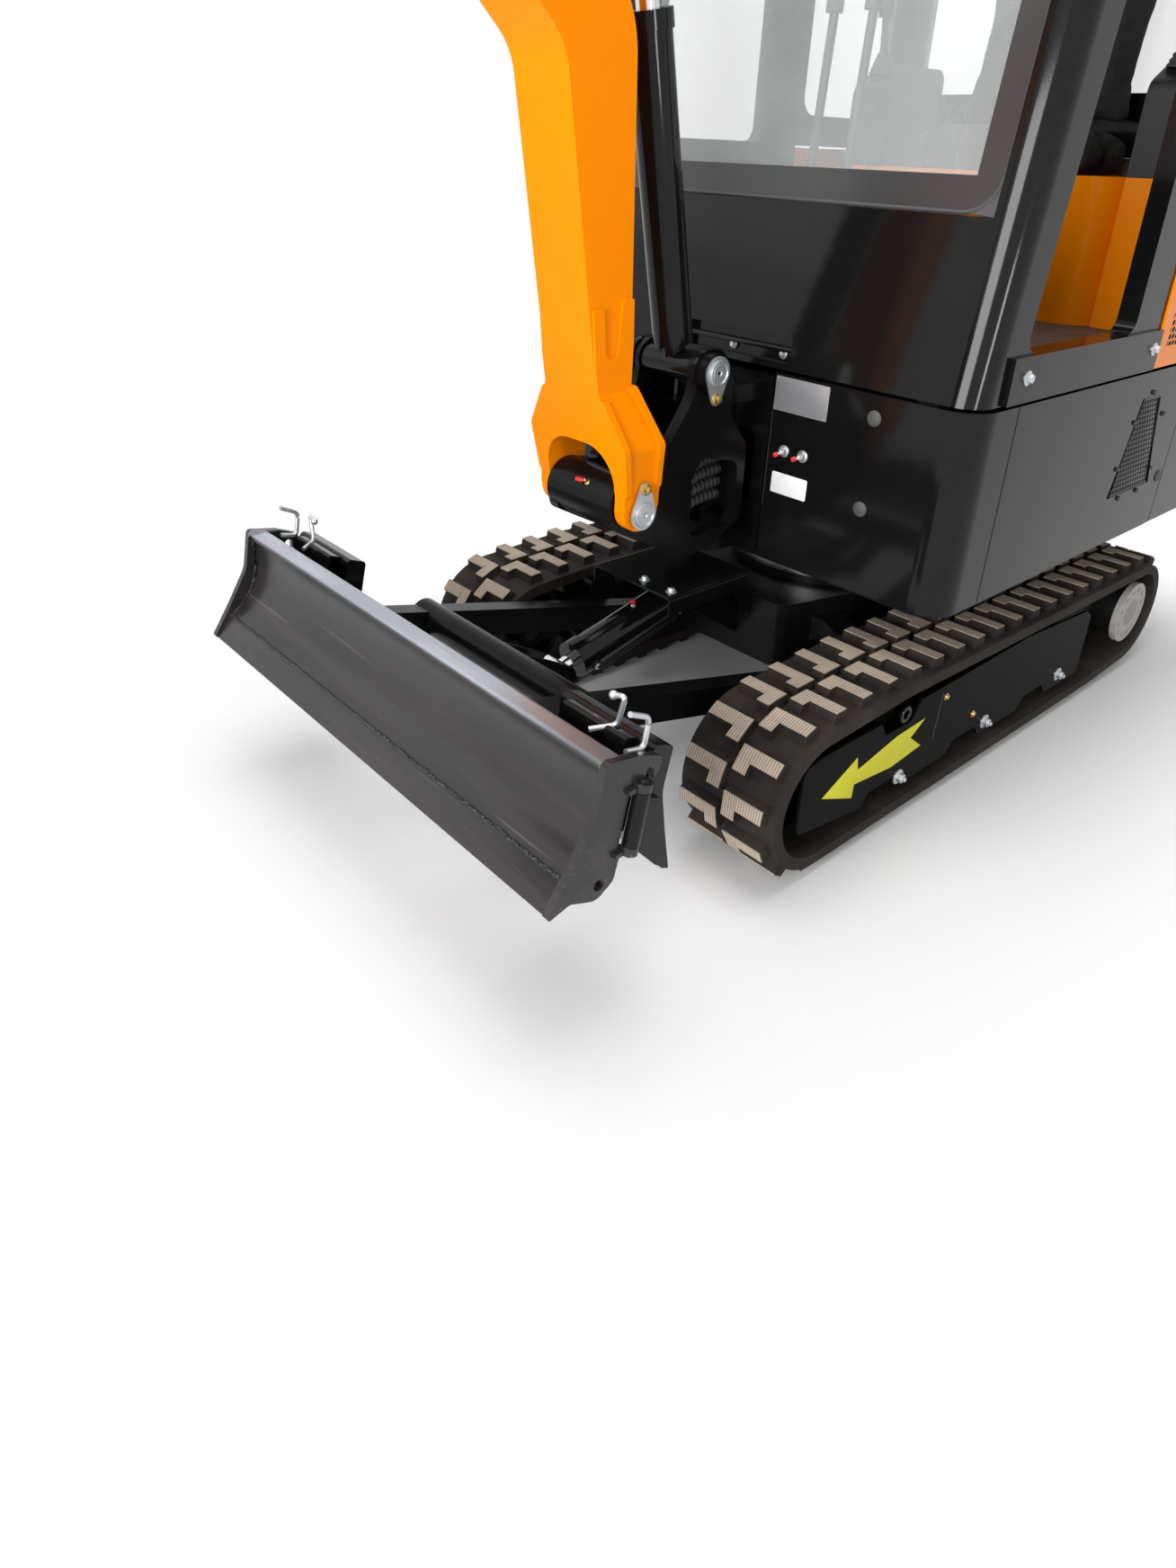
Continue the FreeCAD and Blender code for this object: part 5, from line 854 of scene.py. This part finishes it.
# %% Track covers
ARROW = [(-590, 144), (-500, 189), (-493, 161), (-381, 185), (-292, 190), (-332, 163), (-290, 131),
         (-382, 121), (-497, 133), (-498, 105)]
COVER_X, STICKER_X = 460, 460.2
STUD = [(0, 0), (4.5, 0), (4.5, 6), (3.6, 7), (0, 7)]
GREASE_PLUG = [(0, 0), (7, 0), (7, 1.5), (5, 2), (4.4, 5), (0, 5.6)]
LIFTING_EYE = [(9.0, 0), (16.0, 0), (16.0, 5.0), (15.0, 6.0), (10.0, 6.0), (9.0, 5.0), (9.0, 0)]
covers = Gathering("track_cover_fittings", "undercarriage", "steel")
for side in (1, -1):
    out = (side, 0, 0)
    covers.add(flat([(side * y, z) for y, z in ARROW], 0.5, 0.1), YELLOW, (side * STICKER_X, 0, 0), out)
    for y, z in ((-351, 88), (-46, 92), (266, 96)):
        bolt(covers, (side * COVER_X, y, z), out, 16.0, spin=20.0)
        covers.add(turned(STUD, 16), ZINC, (side * (COVER_X + 10), y, z), out)
    for y, z in ((-230, 213), (-105, 131)):
        covers.add(turned(GREASE_PLUG, 20), BRASS, (side * COVER_X, y, z), out)
    covers.add(turned(LIFTING_EYE, 32), BLACK_GLOSS, (side * (COVER_X - 0.5), -372, 228), out)
    fold = [(side * STICKER_X, -243, 226), (side * STICKER_X, -249, 130)]
    covers.add(followed(fold, 1.3, 8), PLASTIC)
for x, y in ((19, -590), (87, -590)):
    bolt(covers, (x, y, 386), UP, 11.0)
covers.done()

# %% [markdown]
# ## Welds on the blade
# The cutting edge is welded to the moldboard, and the bead shows as a rough line from end to end. A bead
# is a run of small overlapping scales; a bar along the seam with a rippled surface reads the same from
# any distance, for far fewer faces. A thinner bead closes the end plates.

# %% Blade welds
def weld_black():
    f = Finish("weld_bead_paint")
    ripple = f.node("ShaderNodeTexVoronoi", None, {"Vector": f.place(), "Scale": 260.0})["Distance"]
    lumps = f.noise(90.0, 3.0)
    tint = f.blend(lumps, (0.006, 0.006, 0.006), (0.030, 0.028, 0.026))
    return f.done(Base_Color=tint, Roughness=lumps * 0.2 + 0.28, Normal=f.bump(ripple + lumps, 0.004, 1.0))


WELD = weld_black()
beads = Gathering("blade_welds", "blade", "gloss_black")
run = [(-482 + i * 12.05, -1168.6 + 0.5 * math.sin(i * 2.1), 290.8 + 0.6 * math.sin(i * 1.3))
       for i in range(81)]
beads.add(followed(run, 3.2, 8), WELD)
SEAM_X = 482.5
SEAM_CURVE = [(-1167, 291), (-1146, 308), (-1129, 328), (-1117, 352), (-1111, 380), (-1110, 408), (-1112, 430)]
for side in (1, -1):
    beads.add(followed([(side * SEAM_X, y, z) for y, z in SEAM_CURVE], 2.4, 8), WELD)
beads.done()

# %% [markdown]
# ## Cylinders, nipples and glands
# A hard pipe runs along each barrel, from a union at its base to one behind its gland. The pipes are
# rigid steel, fixed to their barrel at both ends, so each rides on its barrel. The blade's cylinder also
# shows a grease nipple with a red cap.

# %% Cylinder pipes
def barrel_pipe(name, body, rear, front_end, out, radius):
    """Hard pipe beside a barrel, from a port block near its rear to one behind its gland."""
    start, end = Vector(rear), Vector(front_end)
    along = (end - start).normalized()
    side = Vector(out).normalized()
    group = Gathering(name, body, "satin_black")
    near, far = start + along * 45, end - along * 30
    lift = radius + 9
    run = [near + side * (radius - 1), near + side * lift, near + side * lift + along * 12,
           far + side * lift - along * 12, far + side * lift, far + side * (radius - 1)]
    soft = run[:1]
    for before, place, after in zip(run, run[1:], run[2:]):
        soft += [place + (before - place).normalized() * 4, place + (after - place).normalized() * 4]
    soft += run[-1:]
    group.add(followed(soft, 5.0, 10), BLACK_SATIN)
    for place in (near, far):
        group.add(hexagon(17, 8), BLACK_SATIN, place + side * (radius - 2), out)
        group.add(turned(UNION_NECK, 16), ZINC, place + side * (radius + 5), out)
    group.done()


UNION_NECK = [(0, 0), (6.5, 0), (6.5, 4), (0, 4)]
for driven, rear, front_end, out, radius in (
        ("blade", (0, -470, 330), (0, -744, 261), (1, 0, -0.35), 33),
        ("boom", (0, *POST_PIN), (0, -637, 1277), (-1, 0, 0), 34),
        ("arm", (0, -800, 1425), (0, -1095, 1734), (1, 0, 0), 33),
        ("bucket", (0, -1570, 1619), (0, -1872, 1361), (1, 0, 0), 28)):
    barrel_pipe(driven + "_cylinder_pipe", driven + "_cylinder_barrel", rear, front_end, out, radius)
fitting = Gathering("blade_cylinder_fitting", "blade_cylinder_barrel", "steel")
nipple(fitting, (4, -600, 331), (0.1, -0.25, 1), 5.0, RED)
fitting.done()

# %% [markdown]
# ## Lock pins of the wings
# A folded wing is kept in place by a bar bent into a handle, with a ball at its end, and a second bar
# bent into a loop stands in the end plate's slot. They are zinc rod, bent cold, so their corners are
# short arcs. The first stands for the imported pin, which is a simpler shape in the same place.

# %% Wing lock pins
def bent(points, radius, corner):
    """Rod along points with its corners rounded to the given arc."""
    points = [Vector(p) for p in points]
    path = points[:1]
    for before, place, after in zip(points, points[1:], points[2:]):
        back = (before - place).normalized() * corner
        ahead = (after - place).normalized() * corner
        for step in range(7):
            t = step / 6
            path.append(place + back * (1 - t) ** 2 + ahead * t ** 2)
    return followed(path + points[-1:], radius, 14)


BALL = [(6.4 * math.sin(math.pi * i / 10), -6.4 * math.cos(math.pi * i / 10)) for i in range(11)]
BAR = [(394, -1056, 424), (414, -1024, 428), (424, -1022, 474), (404, -1024, 468)]
LOOP = [(470, -1058, 482), (470, -1024, 466), (470, -1031, 423), (470, -1062, 430)]
for side, name in ((1, "left"), (-1, "right")):
    pins = Gathering(name + "_wing_lock_pin", name + "_wing", "steel")
    bar = [(side * x, y, z) for x, y, z in BAR]
    pins.add(bent(bar, 3.8, 9.0), ZINC)
    pins.add(turned(BALL, 18), ZINC, bar[-1])
    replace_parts(pins.done(), name + "_wing_pin")
    loop = Gathering(name + "_slot_pin", "blade", "steel")
    loop.add(bent([(side * x, y, z) for x, y, z in LOOP], 4.0, 10.0), ZINC)
    loop.done()

# %% [markdown]
# ## Levers
# Each lever leaves its console or pedestal through a rubber boot, a bellows turned from a rippled
# outline. The pedals beside the travel levers carry ribbed pads.

# %% Lever boots
FOLDS = [(26 - i * 2.0 + (3.0 if i % 2 else 0.0), 6 + i * 4.5) for i in range(9)]
BOOT = [(0, 0), (30, 0), (30, 3), *FOLDS, (9, 46), (0, 46)]
boots = Gathering("lever_boots", "house", "rubber")
for x in (-330, 330):
    boots.add(turned(BOOT, 24), DOME, (x, 436, 1272), (0, -0.12, 1))
for x in (-40, 40):
    boots.add(turned(scaled(BOOT, 0.62, 1), 24), DOME, (x, -179, 839), (0, 0.06, 1))
    pedal = x + math.copysign(40, x)
    treads = flat(oblong(pedal - 27, -157, pedal + 27, -63), 3.0, 0.8, 4.0)
    boots.add(treads, MAT, (0, 0, 836.2))
boots.done()

# %% [markdown]
# ## The seat
# The seat is a padded cushion and a padded back in black cloth. A block with rounded edges would look
# carved, so each pad starts as a block a little smaller than its place, is remeshed into small even
# faces, and is blown up like a pillow by a short cloth simulation. How far a point may travel is capped,
# the underside stays flat on its base, and one subdivision smooths the result.

# %% Padded seat
VOXEL = 0.006
PRESSURE = 4.0
STEPS = 20
TRAVEL = 0.022  # the farthest a point of a pad may move, in metres


def block(size, place, lean, rounding):
    """A rounded block in the frame's metres, leant back about the machine's width."""
    part = bmesh.new()
    bmesh.ops.create_cube(part, size=1.0)
    bmesh.ops.scale(part, vec=size, verts=part.verts)
    bmesh.ops.bevel(part, geom=part.edges[:], offset=rounding, affect="EDGES", segments=4, profile=0.5,
                    material=-1)
    matrix = Matrix.Translation(place) @ Matrix.Rotation(lean, 4, "X")
    bmesh.ops.transform(part, matrix=matrix, verts=part.verts)
    return part


def baked(piece):
    """The piece's mesh with its modifiers applied."""
    graph = bpy.context.evaluated_depsgraph_get()
    mesh = bpy.data.meshes.new_from_object(piece.evaluated_get(graph))
    piece.modifiers.clear()
    old, piece.data = piece.data, mesh
    bpy.data.meshes.remove(old)
    return mesh


def pad(name, part, floor_z):
    """Blow the block up into a pad that stays above floor_z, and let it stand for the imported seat."""
    mesh = bpy.data.meshes.new(name)
    part.to_mesh(mesh)
    part.free()
    piece = linked(name, mesh)
    remesh = piece.modifiers.new("even faces", "REMESH")
    remesh.mode = "VOXEL"
    remesh.voxel_size = VOXEL
    start = [v.co.copy() for v in baked(piece).vertices]
    pillow = piece.modifiers.new("blown up", "CLOTH")
    pillow.settings.use_pressure = True
    pillow.settings.uniform_pressure_force = PRESSURE
    pillow.settings.effector_weights.gravity = 0.0
    for step in range(1, STEPS + 1):
        bpy.context.scene.frame_set(step)
    baked(piece)
    bpy.context.scene.frame_set(1)
    for vertex, before in zip(piece.data.vertices, start):
        travel = vertex.co - before
        if travel.length > TRAVEL:
            vertex.co = before + travel.normalized() * TRAVEL
        vertex.co.z = max(vertex.co.z, floor_z)
    smooth = piece.modifiers.new("smooth", "SUBSURF")
    smooth.levels = smooth.render_levels = 1
    mesh = baked(piece)
    mesh.materials.append(CLOTH)
    mesh.shade_smooth()
    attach(piece, "house")
    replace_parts(piece, "seat")
    print(name, "faces", len(mesh.polygons))


cushion = block((0.420, 0.210, 0.062), at(0, 492, 1117), 0.0, 0.022)
pad("seat_cushion", cushion, at(0, 0, 1080.6).z)
back = block((0.385, 0.042, 0.335), at(0, 604, 1338), math.radians(-8.7), 0.018)
pad("seat_back", back, at(0, 0, 1160).z)

# %% [markdown]
# ## Windscreen seal
# The glass has round corners and its opening has square ones. A rubber profile follows the glass's edge
# and fills the corners. It is laid out flat, then leant back with the glass.

# %% Windscreen seal
LEAN = Vector((0, -0.9903, 0.1390))
RISE = Vector((0, 0.1390, 0.9903))
GLASS_MIDDLE = Vector((0, -228.1, 1555))
ROUND = 58
ROUND_X, ROUND_Z = 353, 473
CORNER_X, CORNER_Z = 416, 536
seal = Gathering("windscreen_seal", "house", "rubber")
path = []
for sx, sz, start in ((1, -1, -90), (1, 1, 0), (-1, 1, 90), (-1, -1, 180)):
    angles = [math.radians(start + 10 * i) for i in range(10)]
    arc = [(sx * ROUND_X + ROUND * math.cos(a), sz * ROUND_Z + ROUND * math.sin(a)) for a in angles]
    filler = flat(arc + [(sx * CORNER_X, sz * CORNER_Z)], 7.5, 0.5)
    seal.add(filler, DOME, GLASS_MIDDLE - LEAN * 6.0, LEAN)
    path += arc
edge = [GLASS_MIDDLE + Vector((x, 0, 0)) + RISE * z for x, z in path + path[:1]]
seal.add(followed(edge, 3.2, 8), DOME)
seal.done()

# %% [markdown]
# ## The hood's lock
# The engine hood closes with one round zinc lock at the middle of its lower edge, turned like the rest
# and kept shallow so that nothing stands out behind the machine. It lifts with the hood.

# %% Hood lock
LOCK = [(0, 0), (17, 0), (17, 1.2), (14, 2.0), (5, 2.0), (4, 1.2), (0, 1.2)]
latch = Gathering("hood_latch", "engine_hood", "plastic")
latch.add(turned(LOCK), ZINC, (0, 827.6, 760), (0, 1, 0))
latch.done()

# %% [markdown]
# ## Floor and light
# A pale floor that falls away to white, a wide soft lamp overhead, another in front, a window-sized one
# at the left and a weak one at the right read like a plain studio. The world gives every surface the
# same soft light; where it is seen directly, or in a polished surface or through glass, it is plain
# white, so the background stays clean at any angle.

# %% Studio
SKY = 0.40
SHADOW_X, SHADOW_Y, SHADOW_MIDDLE = 0.44, 0.92, 0.5
FADE = 0.60


def pale_floor():
    """Matt near white round the machine, where it holds the shadow, and plain white further out."""
    f = Finish("pale_floor")
    x, y, _ = f.axes()
    beside = (x.size() - SHADOW_X).most(0.0)
    ahead = ((y - SHADOW_MIDDLE).size() - SHADOW_Y).most(0.0)
    spread = (beside * beside + ahead * ahead).root()
    tint = f.blend(f.noise(30.0, 2.0), (0.76, 0.76, 0.77), (0.78, 0.78, 0.79))
    near = f.node("ShaderNodeBsdfDiffuse", None, {"Color": tint})["BSDF"]
    far = f.node("ShaderNodeEmission", None, {"Color": (1, 1, 1, 1), "Strength": 1.0})["Emission"]
    share = f.smooth(spread, 0.0, FADE) * f.seen()
    mixed = f.node("ShaderNodeMixShader", None, {0: share, 1: near, 2: far})
    f.node("ShaderNodeOutputMaterial", None, {"Surface": mixed["Shader"]})
    return f.material


def studio():
    """The floor, and a sky that lights softly but is seen as plain white."""
    floor_mesh = bpy.data.meshes.new("studio_floor")
    bm = bmesh.new()
    bmesh.ops.create_grid(bm, x_segments=1, y_segments=1, size=40.0)
    bm.to_mesh(floor_mesh)
    bm.free()
    floor = linked("studio_floor", floor_mesh)
    floor.location = (0, 0, cad_low.z - 0.0005)
    floor_mesh.materials.append(pale_floor())
    world = bpy.data.worlds.new("studio")
    bpy.context.scene.world = world
    w = Finish("studio_sky", world)
    strength = w.seen() * (1.0 - SKY) + SKY
    sky = w.node("ShaderNodeBackground", None, {"Color": (1, 1, 1, 1), "Strength": strength})
    w.node("ShaderNodeOutputWorld", None, {"Surface": sky["Background"]})


def lamp(name, place, aim, size, power):
    """Oblong lamp at place, turned to aim, with its size in metres and its power in watts."""
    data = bpy.data.lights.new(name, "AREA")
    data.shape = "RECTANGLE"
    data.size, data.size_y = size
    data.energy = power
    made = bpy.data.objects.new(name, data)
    made.location = place
    made.rotation_euler = (aim - place).to_track_quat("-Z", "Y").to_euler()
    bpy.context.scene.collection.objects.link(made)


studio()
lamp("overhead", Vector((-0.3, 0.3, 4.4)), at(0, -300, 300), (3.2, 3.2), 130)
lamp("front", Vector((1.0, -4.6, 1.7)), at(0, -300, 700), (3.0, 2.2), 280)
lamp("window", Vector((3.4, -0.9, 0.95)), at(300, -300, 900), (0.4, 0.7), 16)
lamp("fill", Vector((-3.2, -3.4, 2.8)), at(0, -500, 600), (2.6, 2.6), 10)
bpy.context.scene.view_settings.view_transform = "Standard"
